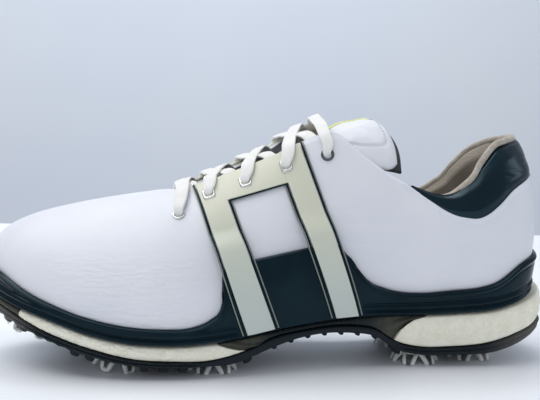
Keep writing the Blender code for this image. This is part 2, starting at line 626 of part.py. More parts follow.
def main():
    for item in list(bpy.data.objects):
        bpy.data.objects.remove(item, do_unlink=True)
    parts = bpy.data.collections.new("golf_shoe")
    cutters = bpy.data.collections.new("cutters")
    bpy.context.scene.collection.children.link(parts)
    bpy.context.scene.collection.children.link(cutters)
    mats = {
        "leather": make_material("white_leather", (0.80, 0.81, 0.85), 0.42),
        "collar": make_material("black_leather", (0.012, 0.022, 0.030), 0.38),
        "tpu": make_material("black_tpu", (0.010, 0.016, 0.020), 0.22),
        "smoke": make_material("smoked_tpu", (0.10, 0.09, 0.075), 0.25),
        "foam": make_material("pellet_foam", (0.78, 0.77, 0.68), 0.6),
        "outsole": make_material("outsole_tpu", (0.018, 0.026, 0.034), 0.4),
        "strap": make_material("cream_tpu", (0.60, 0.62, 0.52), 0.35),
        "lining": make_material("taupe_lining", (0.42, 0.37, 0.30), 0.8),
        "board": make_material("fibre_board", (0.35, 0.28, 0.20), 0.9),
        "sockliner": make_material("sockliner_fabric", (0.03, 0.03, 0.035), 0.85),
        "tongue": make_material("black_textile", (0.015, 0.017, 0.02), 0.8),
        "lace": make_material("white_lace", (0.82, 0.80, 0.74), 0.85),
        "metal": make_material("silver_eyelet", (0.70, 0.70, 0.68), 0.25, 1.0),
        "receptacle": make_material("receptacle_nylon", (0.02, 0.02, 0.022), 0.4),
        "cleat": make_material("cleat_tpu", (0.72, 0.74, 0.72), 0.3),
    }
    hinge = bpy.data.objects.new("tongue_hinge", None)
    hinge.location = Vector((HINGE_X, 0, HINGE_Z)) * MM
    parts.objects.link(hinge)
    sole = build_sole(mats, parts)
    build_upper(mats, parts)
    build_frame(mats, parts)
    build_straps(mats, parts)
    build_eyelets(mats, parts)
    build_tongue(mats, parts)
    build_tab(mats, parts, hinge)
    build_collar_piping(mats, parts)
    build_lace(mats, parts)
    build_cleats(mats, parts, sole["outsole"], cutters)
    centre = bpy.data.objects.new("centre_of_outline", None)
    centre.location = Vector((-CENTRE_X, -CENTRE_Y, 0)) * MM
    parts.objects.link(centre)
    for item in list(parts.objects) + list(cutters.objects):
        if item.parent is None and item is not centre:
            item.parent = centre


main()
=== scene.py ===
"""Looks of the left golf shoe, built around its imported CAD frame.

Toe towards -X, heel towards +X, lateral side towards -Y. Lengths are in millimetres until
they become mesh points, which are in metres.
"""
import math

import bmesh
import bpy
import numpy as np
from mathutils import Matrix, Vector, noise


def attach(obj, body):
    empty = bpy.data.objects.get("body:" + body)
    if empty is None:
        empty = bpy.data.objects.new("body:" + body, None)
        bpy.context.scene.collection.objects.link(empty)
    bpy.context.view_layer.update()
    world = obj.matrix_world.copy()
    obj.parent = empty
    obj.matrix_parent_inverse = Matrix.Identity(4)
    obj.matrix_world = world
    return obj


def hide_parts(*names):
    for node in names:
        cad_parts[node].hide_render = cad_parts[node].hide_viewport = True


MM = 0.001
SHOE = "shoe"
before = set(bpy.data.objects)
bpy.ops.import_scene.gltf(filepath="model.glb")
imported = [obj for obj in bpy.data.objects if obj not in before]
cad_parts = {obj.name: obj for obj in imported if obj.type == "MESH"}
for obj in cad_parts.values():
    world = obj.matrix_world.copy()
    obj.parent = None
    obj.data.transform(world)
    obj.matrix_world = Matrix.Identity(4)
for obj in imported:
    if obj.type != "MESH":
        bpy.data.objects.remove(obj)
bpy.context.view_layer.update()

# ---- the last: the same driving shapes as the CAD model ----------------------------------
CENTRE = np.array([1.36, -2.74, 0.0])
SOLE_MID_X, SOLE_HALF_LENGTH = 1.0, 154.0
FEATHER_INSET, LAYER_GAP, TOE_LEAN = 4.0, 0.7, 4.0
LEATHER, COLLAR_LEATHER, FRAME_WALL, STRAP_WALL, LINING = 1.6, 1.4, 1.9, 1.3, 1.2
FIT = 0.3
OUTLINE = [(0.0, 5.0, 5.0), (0.1, -15.5, 25.0), (0.2, -37.0, 40.5), (0.3, -50.5, 48.0),
           (0.4, -53.5, 46.0), (0.5, -45.0, 35.0), (0.6, -37.0, 30.0), (0.7, -36.5, 33.0),
           (0.8, -35.5, 34.0), (0.9, -24.0, 23.5), (1.0, 0.0, 0.0)]
FOAM_TOP = [(-156, 40.5), (-131, 32.7), (-112, 27.4), (-94, 22.0), (-77, 18.5), (-53, 16.9), (-24, 18.6),
            (10, 24.2), (46, 27.6), (75, 28.2), (98, 29.1), (117, 30.5), (132, 33.8), (146, 38.6),
            (158, 42.5)]
OUTSOLE_TOP = [(-156, 37.6), (-134, 29.8), (-118, 23.0), (-106, 19.0), (-92, 15.0), (-72, 10.8),
               (-53, 9.6), (-34, 9.6), (-18, 13.0), (0, 20.0), (14, 22.4), (40, 23.8), (54, 21.4),
               (66, 14.4), (78, 11.6), (92, 11.4), (118, 14.0), (128, 16.8), (141, 21.0), (151, 25.0),
               (158, 29.0)]
OUTSOLE_BASE = [(-156, 33.0), (-134, 24.7), (-115, 17.8), (-95, 11.8), (-77, 8.0), (-53, 6.6),
                (-34, 6.6), (-22, 7.3), (-12, 10.6), (0, 15.0), (14, 18.9), (40, 19.8), (54, 17.2),
                (66, 9.8), (78, 7.0), (92, 6.6), (104, 6.8), (118, 7.8), (130, 10.8), (141, 15.0),
                (151, 20.5), (158, 25.0)]
LOWER_HANDLE = [(0.0, 2.5, 0, 27), (0.05, 2.5, 5, 27), (0.1, 3, 8, 29), (0.15, -3, 10.5, 26),
                (0.2, -9, 11, 28), (0.25, -12, 11, 30), (0.3, -10, 10, 28), (0.35, -8, 9, 28),
                (0.4, -9, 7, 31), (0.45, -9, 3, 36), (0.5, -9, 0, 38)]
UPPER_HANDLE = [(0.0, 152, 0, 92), (0.05, 145.5, 24, 92), (0.1, 121, 33.5, 91), (0.13, 102, 36.5, 82),
                (0.15, 83, 37.5, 80), (0.175, 48, 37, 90), (0.2, 23, 36, 96), (0.25, -24, 38, 88),
                (0.3, -59, 38, 80), (0.35, -90, 29, 80), (0.4, -110, 19, 80), (0.45, -121, 9.5, 80),
                (0.5, -125, 0, 80)]
TOPLINE = [(0.0, 138.5, 0, 122.0), (0.03, 134.5, 10, 121.6), (0.06, 126, 18, 120.3),
           (0.09, 116.5, 23.5, 116.5), (0.11, 109.5, 26.5, 108.5), (0.13, 101.5, 29.5, 98.0),
           (0.14, 92, 30.5, 92.6), (0.15, 80, 31, 93.9), (0.16, 62, 30, 101.6), (0.17, 46, 27, 112.4),
           (0.18, 33, 23.5, 122.9), (0.19, 24, 21, 122.7), (0.2045, 13, 19, 118.1),
           (0.2177, 2, 17.6, 111.8), (0.2515, -28, 15, 98.7), (0.2665, -41, 13.5, 94.0),
           (0.3, -48.5, 10.5, 92.8), (0.35, -51.5, 7.5, 92.5), (0.4, -53, 5, 92.3),
           (0.45, -53.8, 2.5, 92.0), (0.5, -54, 0, 91.8)]
HEEL_TUCK = [(0.0, 5.8), (0.03, 5.5), (0.06, 4.2), (0.09, 2.0), (0.12, 0), (0.2, 0), (0.5, 0)]
MEDIAL_RISE = [(0.0, 0), (0.05, -1.5), (0.09, -5), (0.125, -4), (0.155, 0), (0.18, 4.0), (0.2, 3.5),
               (0.23, 1.5), (0.26, 0), (0.5, 0)]
FRAME_EDGE = [(0.0, 0.264), (0.03, 0.263), (0.055, 0.26), (0.0756, 0.255), (0.086, 0.244), (0.095, 0.223),
              (0.1095, 0.188), (0.129, 0.17), (0.148, 0.168), (0.166, 0.153), (0.176, 0.156),
              (0.185, 0.177), (0.193, 0.22), (0.1985, 0.3), (0.2015, 0.385), (0.2045, 0.42),
              (0.2177, 0.412), (0.235, 0.403), (0.2515, 0.4), (0.262, 0.4), (0.267, 0.375),
              (0.2694, 0.33), (0.2715, 0.25), (0.2744, 0.195), (0.2828, 0.135), (0.2928, 0.109),
              (0.3087, 0.104), (0.3237, 0.106), (0.352, 0.106), (0.376, 0.105), (0.394, 0.113),
              (0.4133, 0.131), (0.4303, 0.145), (0.46, 0.15), (0.5, 0.15)]
COLLAR_EDGE = [(0.0, 0.8), (0.03, 0.785), (0.0472, 0.765), (0.0846, 0.703), (0.104, 0.655),
               (0.117, 0.647), (0.1289, 0.675), (0.1369, 0.733), (0.1459, 0.83), (0.1513, 0.902),
               (0.157, 0.985)]
STRAP_FRONT, STRAP_REAR = (0.2515, 0.2665), (0.2045, 0.2177)
COLLAR_FRONT = 0.157
VAMP_EDGE = 0.259
EYELETS = [("round", 0.291, 0.765), ("square", 0.2605, 0.85), ("square", 0.239, 0.862),
           ("square", 0.2155, 0.872), ("round", 0.1905, 0.882)]


def cubic(keys):
    """Smooth curve through keys [(place, value, ...)], for arrays of places."""
    table = np.array(keys, float)
    place, value = table[:, 0], table[:, 1:]
    slope = np.gradient(value, place, axis=0)

    def at(x):
        x = np.asarray(x, float)
        i = np.clip(np.searchsorted(place, x) - 1, 0, len(place) - 2)
        step = (place[i + 1] - place[i])[..., None]
        u = np.clip((x[..., None] - place[i][..., None]) / step, 0, 1)
        out = ((1 + 2 * u) * (1 - u) ** 2 * value[i] + u * (1 - u) ** 2 * step * slope[i]
               + u * u * (3 - 2 * u) * value[i + 1] + u * u * (u - 1) * step * slope[i + 1])
        return out[..., 0] if out.shape[-1] == 1 else out
    return at


outline, foam_top, outsole_top, outsole_base = map(cubic, (OUTLINE, FOAM_TOP, OUTSOLE_TOP, OUTSOLE_BASE))
lower_handle, upper_handle, topline = map(cubic, (LOWER_HANDLE, UPPER_HANDLE, TOPLINE))
frame_edge, collar_edge = map(cubic, (FRAME_EDGE, COLLAR_EDGE))
medial_rise, heel_tuck = map(cubic, (MEDIAL_RISE, HEEL_TUCK))


def unit(vectors):
    """The same directions, one unit long."""
    return vectors / np.linalg.norm(vectors, axis=-1, keepdims=True)


def sole_point(s, side, inset=0.0):
    """Points (x, y) on the sole's outline, side 0 lateral or 1 medial, moved inwards."""
    s = np.clip(np.asarray(s, float), 0.0006, 0.9994)
    x = SOLE_MID_X - SOLE_HALF_LENGTH * np.cos(np.pi * s)
    y = np.where(side, outline(s)[..., 1], outline(s)[..., 0])
    step = 0.0005
    dx = SOLE_HALF_LENGTH * np.pi * np.sin(np.pi * s)
    before, after = outline(s - step), outline(s + step)
    dy = np.where(side, after[..., 1] - before[..., 1], after[..., 0] - before[..., 0]) / (2 * step)
    length = np.hypot(dx, dy)
    turn = np.where(side, 1.0, -1.0)
    return x + inset * dy / length * turn, y - inset * dx / length * turn


def half_loop(loop):
    loop = np.mod(loop, 1.0)
    medial = loop > 0.5
    return np.where(medial, 1 - loop, loop), medial


def bare_upper(loop, height):
    """Point on the upper's surface: loop 0 heel, 0.25 lateral, 0.5 toe; height 0 sole, 1 topline."""
    loop, height = np.broadcast_arrays(np.asarray(loop, float), np.asarray(height, float))
    half, medial = half_loop(loop)
    sign = np.where(medial, 1.0, -1.0)
    x, y = sole_point(1 - 2 * half, medial, FEATHER_INSET)
    base = np.stack([x - heel_tuck(half), y, foam_top(x) + LAYER_GAP], -1)
    low = lower_handle(half)
    low = base + np.stack([low[..., 0], sign * low[..., 1], low[..., 2]], -1)
    high = upper_handle(half)
    lean = TOE_LEAN * np.maximum(0, -high[..., 0] - 60) / 65
    high = np.stack([high[..., 0], sign * high[..., 1] + lean, high[..., 2]], -1)
    top = topline(half)
    rise = np.where(medial, medial_rise(half), 0.0)
    top = np.stack([top[..., 0], sign * top[..., 1], top[..., 2] + rise], -1)
    u = height[..., None]
    return (1 - u) ** 3 * base + 3 * u * (1 - u) ** 2 * low + 3 * u * u * (1 - u) * high + u ** 3 * top


def upper_normal(loop, height):
    loop, height = np.broadcast_arrays(np.asarray(loop, float), np.asarray(height, float))
    step_t, step_h = 0.004, 0.01
    up = bare_upper(loop, np.minimum(height + step_h, 1)) - bare_upper(loop, np.maximum(height - step_h, 0))
    along = bare_upper(loop + step_t, height) - bare_upper(loop - step_t, height)
    return unit(np.cross(up, along))


def on_upper(loop, height, lift=0.0):
    """Millimetre points on the upper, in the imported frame's coordinates."""
    lift = np.asarray(lift, float)
    lift = lift[..., None] if lift.ndim else lift
    return bare_upper(loop, height) + upper_normal(loop, height) * lift - CENTRE


def row_lengths(loops, low, high):
    """Length in mm of each column from its low to its high edge."""
    steps = np.linspace(0, 1, 17)[:, None]
    points = bare_upper(loops[None, :], low + (high - low) * steps)
    return np.linalg.norm(np.diff(points, axis=0), axis=-1).sum(0)


def ease(x):
    x = np.clip(x, 0, 1)
    return x * x * (3 - 2 * x)


def creases(points, stretch, size, seed, width):
    """Thin wandering lines, 1 along their middle; stretch lengthens them along an axis."""
    return np.exp(-(ripple(np.asarray(points) * np.array(stretch), size, seed) / width) ** 2)


def ripple(points, size, seed=0.0):
    """Soft noise between -1 and 1 for an array of millimetre points."""
    flat = np.asarray(points, float).reshape(-1, 3) / size
    offset = Vector((seed, seed * 0.7, -seed))
    values = [noise.noise(Vector(p) + offset) for p in flat]
    return np.array(values).reshape(np.asarray(points).shape[:-1])


# ---- materials ---------------------------------------------------------------------------
class Finish:
    """A node material with short helpers; lengths given to it are in millimetres."""

    def __init__(self, name, colour, roughness, **inputs):
        self.material = bpy.data.materials.new(name)
        self.material.use_nodes = True
        self.nodes = self.material.node_tree.nodes
        self.links = self.material.node_tree.links
        self.shader = self.nodes["Principled BSDF"]
        self.place = self.nodes.new("ShaderNodeTexCoord").outputs["Object"]
        self.colour = tuple(colour) + (1.0,)
        self.shader.inputs["Base Color"].default_value = self.colour
        self.shader.inputs["Roughness"].default_value = roughness
        for key, value in inputs.items():
            self.shader.inputs[key.replace("_", " ")].default_value = value
        self.bump_input = None

    def node(self, kind, **settings):
        made = self.nodes.new(kind)
        for key, value in settings.items():
            if key in made.inputs:
                made.inputs[key].default_value = value
            else:
                setattr(made, key, value)
        return made

    def link(self, start, end):
        self.links.new(start, end)

    def noise(self, size, detail=3.0, stretch=(1, 1, 1), rough=0.5):
        mapping = self.node("ShaderNodeMapping")
        mapping.inputs["Scale"].default_value = [s / (size * MM) for s in stretch]
        self.link(self.place, mapping.inputs["Vector"])
        made = self.node("ShaderNodeTexNoise", Scale=1.0, Detail=detail, Roughness=rough)
        self.link(mapping.outputs["Vector"], made.inputs["Vector"])
        return made.outputs["Fac"]

    def cells(self, size, feature="F1", stretch=(1, 1, 1)):
        mapping = self.node("ShaderNodeMapping")
        mapping.inputs["Scale"].default_value = [s / (size * MM) for s in stretch]
        self.link(self.place, mapping.inputs["Vector"])
        made = self.node("ShaderNodeTexVoronoi", feature=feature, Scale=1.0)
        self.link(mapping.outputs["Vector"], made.inputs["Vector"])
        return made.outputs["Distance"]

    def along(self, axis, start, end):
        """0 to 1 between two places in mm on an axis of the shoe."""
        split = self.node("ShaderNodeSeparateXYZ")
        self.link(self.place, split.inputs["Vector"])
        made = self.node("ShaderNodeMapRange")
        made.inputs["From Min"].default_value = start * MM
        made.inputs["From Max"].default_value = end * MM
        self.link(split.outputs[axis], made.inputs["Value"])
        return made.outputs["Result"]

    def combine(self, operation, first, *others):
        """The sources joined two by two by a maths operation."""
        for other in others:
            made = self.node("ShaderNodeMath", operation=operation)
            self.link(first, made.inputs[0])
            self.link(other, made.inputs[1])
            first = made.outputs["Value"]
        return first

    def ramp(self, source, stops):
        made = self.node("ShaderNodeValToRGB")
        ramp = made.color_ramp
        while len(ramp.elements) < len(stops):
            ramp.elements.new(0.5)
        for element, (place, value) in zip(ramp.elements, stops):
            element.position = place
            element.color = value if len(value) == 4 else tuple(value) + (1.0,)
        self.link(source, made.inputs["Fac"])
        return made.outputs["Color"]

    def vary_colour(self, source, low, high, start=0.3, end=0.7):
        self.link(self.ramp(source, [(start, low), (end, high)]), self.shader.inputs["Base Color"])
        return self

    def vary_roughness(self, source, low, high):
        made = self.node("ShaderNodeMapRange")
        made.inputs["To Min"].default_value = low
        made.inputs["To Max"].default_value = high
        self.link(source, made.inputs["Value"])
        self.link(made.outputs["Result"], self.shader.inputs["Roughness"])
        return self

    def bump(self, source, height, strength=1.0):
        """Adds a bump of this height in mm on top of the ones already there."""
        made = self.node("ShaderNodeBump", Strength=strength, Distance=height * MM)
        self.link(source, made.inputs["Height"])
        if self.bump_input:
            self.link(self.bump_input, made.inputs["Normal"])
        self.bump_input = made.outputs["Normal"]
        self.link(self.bump_input, self.shader.inputs["Normal"])
        return self


# Name, roughness, sheen, size and detail of the colour's noise, its two colours, and the relief:
# its kind, how fine it is, its height in mm and its strength.
MIXED_FINISHES = {
    "binding": ("taupe binding", 0.7, 0.3, (3, 3), (0.38, 0.34, 0.28), (0.52, 0.47, 0.40),
                "noise", (0.7, 2, (1, 1, 2)), 0.2, 0.7),
    "tongue": ("black tongue textile", 0.75, 0.25, (2, 2), (0.006, 0.008, 0.011), (0.018, 0.021, 0.027),
               "cells", (1.6,), 0.3, 0.7),
    "yellow": ("yellow edge textile", 0.6, 0.0, (1.5, 2), (0.72, 0.76, 0.22), (0.86, 0.88, 0.38),
               "noise", (0.6, 2), 0.1, 0.6),
    "insert": ("cleat insert", 0.4, 0.0, (2, 3), (0.055, 0.055, 0.05), (0.16, 0.155, 0.145),
               "noise", (0.6, 3), 0.05, 0.5),
    "sockliner": ("sockliner textile", 0.85, 0.3, (3, 3), (0.012, 0.014, 0.017), (0.035, 0.038, 0.043),
                  "cells", (1.4,), 0.2, 0.7),
    "board": ("fibre board", 0.9, 0.0, (2, 4), (0.26, 0.20, 0.14), (0.42, 0.34, 0.25),
              "noise", (0.8, 3), 0.1, 0.5),
}


def mixed_finish(name, roughness, sheen, grain, low, high, relief, fine, height, strength):
    finish = Finish(name, low, roughness, Sheen_Weight=sheen)
    finish.vary_colour(finish.noise(*grain), low, high)
    source = finish.cells(*fine) if relief == "cells" else finish.noise(*fine)
    return finish.bump(source, height, strength).material


def make_finishes():
    made = {}
    leather = Finish("white leather", (0.80, 0.82, 0.87), 0.45, Coat_Weight=0.08, Coat_Roughness=0.35)
    leather.vary_colour(leather.noise(45, 3), (0.78, 0.80, 0.855), (0.84, 0.855, 0.90))
    leather.vary_roughness(leather.noise(12, 4), 0.40, 0.52)
    leather.bump(leather.noise(0.9, 2), 0.04, 0.4).bump(leather.cells(1.5), 0.04, 0.3)
    leather.bump(leather.noise(7, 4, (1, 1, 3)), 0.18, 0.2)
    flexed = leather.combine("MULTIPLY", leather.along("X", -122, -96), leather.along("X", -22, -48),
                             leather.along("Z", 66, 52))
    wrinkled = leather.combine("MULTIPLY", leather.noise(1.9, 3, (0.3, 0.4, 1)), flexed)
    leather.bump(wrinkled, 0.9, 0.8)
    made["leather"] = leather.material

    collar = Finish("black leather", (0.002, 0.011, 0.018), 0.3, Specular_IOR_Level=0.42,
                    Specular_Tint=(0.55, 0.86, 1.0, 1.0))
    collar.vary_colour(collar.noise(40, 2), (0.001, 0.006, 0.011), (0.004, 0.016, 0.025))
    collar.vary_roughness(collar.noise(18, 2), 0.20, 0.32)
    collar.bump(collar.cells(1.1), 0.03, 0.3).bump(collar.noise(4, 3, (1, 1, 2.5)), 0.12, 0.25)
    made["collar"] = collar.material

    teal = (0.5, 0.82, 1.0, 1.0)
    tpu = Finish("black frame TPU", (0.003, 0.009, 0.014), 0.18, Specular_IOR_Level=0.19, Specular_Tint=teal)
    tpu.vary_colour(tpu.noise(30, 2), (0.002, 0.007, 0.011), (0.005, 0.014, 0.020))
    tpu.vary_roughness(tpu.noise(9, 4), 0.16, 0.28)
    tpu.bump(tpu.noise(3, 3), 0.03, 0.25)
    made["tpu"] = tpu.material

    smoke = Finish("smoked TPU", (0.03, 0.03, 0.025), 0.24, Specular_IOR_Level=0.18)
    fins = smoke.combine("MAXIMUM", smoke.along("X", 40, 60), smoke.along("X", 2, -14))
    smoke.link(smoke.ramp(fins, [(0.0, (0.004, 0.009, 0.011)), (0.45, (0.012, 0.018, 0.018)),
                                 (1.0, (0.062, 0.064, 0.050))]), smoke.shader.inputs["Base Color"])
    smoke.vary_roughness(smoke.noise(4, 3), 0.18, 0.34)
    smoke.bump(smoke.noise(2.5, 3), 0.05, 0.3)
    made["smoke"] = smoke.material

    foam = Finish("pellet foam", (0.84, 0.82, 0.71), 0.6, Subsurface_Weight=0.05, Subsurface_Scale=0.004)
    foam.vary_colour(foam.noise(7, 4), (0.85, 0.82, 0.66), (0.95, 0.935, 0.80), 0.25, 0.7)
    foam.bump(foam.noise(1.2, 3), 0.12, 0.4).bump(foam.cells(3.6, "SMOOTH_F1"), -0.7, 0.6)
    made["foam"] = foam.material

    outsole = Finish("outsole TPU", (0.008, 0.013, 0.017), 0.4, Specular_IOR_Level=0.2)
    ends = outsole.combine("MAXIMUM", outsole.along("X", 112, 140), outsole.along("X", -122, -142))
    outsole.link(outsole.ramp(ends, [(0.0, (0.008, 0.014, 0.019)), (1.0, (0.10, 0.098, 0.088))]),
                 outsole.shader.inputs["Base Color"])
    outsole.vary_roughness(outsole.noise(6, 4), 0.32, 0.55)
    outsole.bump(outsole.noise(1.0, 3), 0.08, 0.4)
    made["outsole"] = outsole.material

    strap = Finish("cream strap TPU", (0.60, 0.62, 0.50), 0.36, Coat_Weight=0.06, Coat_Roughness=0.25)
    strap.vary_colour(strap.along("Z", 40, 85), (0.56, 0.62, 0.57), (0.70, 0.71, 0.57), 0.0, 1.0)
    strap.bump(strap.noise(0.5, 2), 0.03, 0.4).bump(strap.noise(8, 3), 0.10, 0.25)
    made["strap"] = strap.material

    # Strap rim: a real clear film edge, but its light grey-green colour is a painted highlight along that
    # edge.
    film_highlight = Finish("clear strap rim highlight", (0.26, 0.30, 0.27), 0.3)
    film_highlight.bump(film_highlight.noise(1.5, 2), 0.03, 0.3)
    made["film_highlight"] = film_highlight.material

    lining = Finish("taupe lining", (0.40, 0.35, 0.29), 0.85, Sheen_Weight=0.3)
    lining.vary_colour(lining.noise(16, 4), (0.33, 0.29, 0.235), (0.46, 0.41, 0.34))
    lining.bump(lining.cells(1.1), 0.25, 0.7).bump(lining.noise(7, 3), 0.5, 0.4)
    made["lining"] = lining.material

    lace = Finish("woven lace", (0.92, 0.91, 0.86), 0.8, Sheen_Weight=0.2)
    lace.place = lace.nodes["Texture Coordinate"].outputs["UV"]
    for direction, strength in (("X", 0.3), ("DIAGONAL", 0.5)):
        wave = lace.node("ShaderNodeTexWave", Scale=1.0, Distortion=0.0, bands_direction=direction)
        lace.link(lace.place, wave.inputs["Vector"])
        lace.bump(wave.outputs["Fac"], 0.14, strength)
    lace.place = lace.nodes["Texture Coordinate"].outputs["Object"]
    lace.vary_colour(lace.noise(6, 4), (0.93, 0.915, 0.86), (0.98, 0.975, 0.95), 0.25, 0.65)
    made["lace"] = lace.material

    thread = Finish("white thread", (0.72, 0.73, 0.75), 0.6, Sheen_Weight=0.2)
    thread.bump(thread.noise(0.4, 2), 0.05, 0.7)
    made["thread"] = thread.material

    metal = Finish("silver eyelet", (0.72, 0.72, 0.70), 0.25, Metallic=1.0)
    metal.vary_roughness(metal.noise(1.5, 4), 0.18, 0.42)
    metal.vary_colour(metal.noise(2.5, 3), (0.50, 0.50, 0.48), (0.82, 0.82, 0.80))
    metal.bump(metal.noise(0.5, 3), 0.02, 0.5)
    made["metal"] = metal.material

    gunmetal = Finish("gunmetal eyelet", (0.12, 0.13, 0.14), 0.28, Metallic=1.0)
    gunmetal.vary_roughness(gunmetal.noise(1.5, 4), 0.2, 0.42)
    made["gunmetal"] = gunmetal.material

    # Near-black disc finish behind each eyelet: painted shade inside the hole.
    hole = Finish("eyelet hole shade", (0.008, 0.009, 0.010), 0.8)
    hole.bump(hole.noise(0.5, 2), 0.05, 0.5)
    made["hole"] = hole.material

    cleat = Finish("frosted cleat TPU", (0.86, 0.88, 0.86), 0.3, Subsurface_Weight=0.1,
                   Subsurface_Scale=0.002)
    cleat.vary_colour(cleat.noise(4, 3), (0.78, 0.81, 0.79), (0.90, 0.92, 0.90))
    cleat.bump(cleat.noise(0.8, 3), 0.04, 0.5)
    made["cleat"] = cleat.material

    for key, recipe in MIXED_FINISHES.items():
        made[key] = mixed_finish(*recipe)
    return made


# ---- mesh helpers ------------------------------------------------------------------------
def new_mesh(name, points, faces, material, body=SHOE, sharp=50):
    """Object from millimetre points."""
    mesh = bpy.data.meshes.new(name)
    mesh.from_pydata([tuple(p) for p in np.asarray(points, float) * MM], [], faces)
    mesh.validate()
    work = bmesh.new()
    work.from_mesh(mesh)
    loose = [v for v in work.verts if not v.link_faces]
    bmesh.ops.delete(work, geom=loose, context="VERTS")
    work.to_mesh(mesh)
    work.free()
    mesh.shade_smooth()
    if sharp:
        mesh.set_sharp_from_angle(angle=math.radians(sharp))
    item = bpy.data.objects.new(name, mesh)
    bpy.context.scene.collection.objects.link(item)
    mesh.materials.append(material)
    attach(item, body)
    return item


def band_frame(path, up):
    """Directions across and out of a band along a path, for an up direction or one at each point."""
    along = unit(np.gradient(path, axis=0))
    wide = unit(np.cross(along, up))
    return wide, np.cross(wide, along)


def run_along(path):
    """Distance from the start of a path to each of its points."""
    return np.concatenate([[0], np.cumsum(np.linalg.norm(np.diff(path, axis=0), axis=-1))])


def round_square(angle, power):
    """Cosine and sine of angles, pushed out from a circle towards a square by a power under 1."""
    c, d = np.cos(angle), np.sin(angle)
    return np.sign(c) * np.abs(c) ** power, np.sign(d) * np.abs(d) ** power


def tube_faces(rings, sides, start=0):
    """Side faces and both ends of a tube whose rings all have this many points."""
    faces = [(start + r * sides + a, start + r * sides + (a + 1) % sides,
              start + (r + 1) * sides + (a + 1) % sides, start + (r + 1) * sides + a)
             for r in range(rings - 1) for a in range(sides)]
    faces.append(tuple(start + a for a in reversed(range(sides))))
    faces.append(tuple(start + (rings - 1) * sides + a for a in range(sides)))
    return faces


def outwards(item):
    work = bmesh.new()
    work.from_mesh(item.data)
    bmesh.ops.recalc_face_normals(work, faces=work.faces)
    work.to_mesh(item.data)
    work.free()
    return item


def grid_faces(rows, columns, keep=None, wrap=False):
    faces = []
    for r in range(rows - 1):
        for c in range(columns if wrap else columns - 1):
            if keep is None or keep[r, c]:
                n = (c + 1) % columns
                low, high = r * columns, (r + 1) * columns
                faces.append((low + n, low + c, high + c, high + n))
    return faces


def shell(name, loops, heights, lift, thickness, material, keep=None, rim=0.4, body=SHOE, wrap=False):
    """Sheet over the upper, given its loops (columns) and heights (rows by columns).
    lift is the outer face's distance from the bare upper; thickness goes inwards."""
    rows, columns = heights.shape
    points = on_upper(np.broadcast_to(loops, heights.shape), heights, np.broadcast_to(lift, heights.shape))
    item = new_mesh(name, points.reshape(-1, 3), grid_faces(rows, columns, keep, wrap), material, body, 0)
    solid = item.modifiers.new("thickness", "SOLIDIFY")
    solid.thickness = thickness * MM
    solid.offset = -1.0
    if rim:
        bevel = item.modifiers.new("rim", "BEVEL")
        bevel.width = rim * MM
        bevel.segments = 3
        bevel.limit_method = "ANGLE"
        bevel.angle_limit = math.radians(55)
        bevel.harden_normals = False
    return item


def sweep(name, path, wide, up, width, height, material, body=SHOE, sides=14, squareness=0.6):
    """Flat band along a path, with frames and sizes given point by point, and UVs in mm."""
    across, tall = round_square(np.linspace(0, 2 * np.pi, sides, endpoint=False), squareness)
    rings = (path[:, None, :] + wide[:, None, :] * (across[None, :, None] * width[:, None, None] / 2)
             + up[:, None, :] * (tall[None, :, None] * height[:, None, None] / 2))
    count = len(path)
    item = outwards(new_mesh(name, rings.reshape(-1, 3), tube_faces(count, sides), material, body, 0))
    layer = item.data.uv_layers.new(name="weave")
    place = np.zeros((count * sides, 2))
    place[:, 0] = np.repeat(run_along(path), sides)
    place[:, 1] = np.tile(across, count) * np.repeat(width, sides) / 2
    for loop in item.data.loops:
        layer.data[loop.index].uv = place[loop.vertex_index]
    return item


def stitch_row(name, path, normals, pitch, radius, material, body=SHOE):
    """Thread stitches along a line: short rounded bars that dip at both ends."""
    run = run_along(path)
    count = max(int(run[-1] / pitch), 1)
    points, faces = [], []
    for k in range(count):
        ends = run[-1] * (np.array([0.12, 0.35, 0.65, 0.88]) + k) / count
        centre = np.stack([np.interp(ends, run, path[:, i]) for i in range(3)], -1)
        normal = np.stack([np.interp(ends, run, normals[:, i]) for i in range(3)], -1)
        centre = centre + normal * np.array([-0.6, 0.35, 0.35, -0.6])[:, None] * radius
        along = unit(centre[3] - centre[0])
        side = unit(np.cross(along, normal[1]))
        up = np.cross(side, along)
        base = len(points)
        for j in range(4):
            size = radius * (0.6 if j in (0, 3) else 1.0)
            for a in range(6):
                turn = a * math.pi / 3
                points.append(centre[j] + (side * math.cos(turn) + up * math.sin(turn)) * size)
        faces += tube_faces(4, 6, base)
    return outwards(new_mesh(name, points, faces, material, body, 0))


# ---- sole --------------------------------------------------------------------------------
FOREFOOT_FOAM_END, HEEL_FOAM_START = -23.0, 68.0
TOE_GUARD_END = 0.172
HEEL_CORNER = [(0, 0), (0.3, 1.6), (0.6, 4.2), (0.8, 7.6), (0.93, 12.5), (1.0, 18.0)]
heel_corner = cubic(HEEL_CORNER)
CLEATS = [("toe", -126, 0), ("ball_lateral_front", -80, -27), ("ball_lateral_rear", -32, -31),
          ("ball_medial_front", -98, 30), ("ball_medial_mid", -62, 30), ("ball_medial_rear", -28, 26),
          ("ball_centre", -55, 0), ("heel_lateral", 80, -19), ("heel_medial", 79, 17.5),
          ("heel_rear", 113, -12)]
CLEAT_HEIGHT, CLEAT_STEEP = 6.6, 0.145


def sole_share(x):
    return np.arccos(np.clip((SOLE_MID_X - np.asarray(x, float)) / SOLE_HALF_LENGTH, -1, 1)) / np.pi


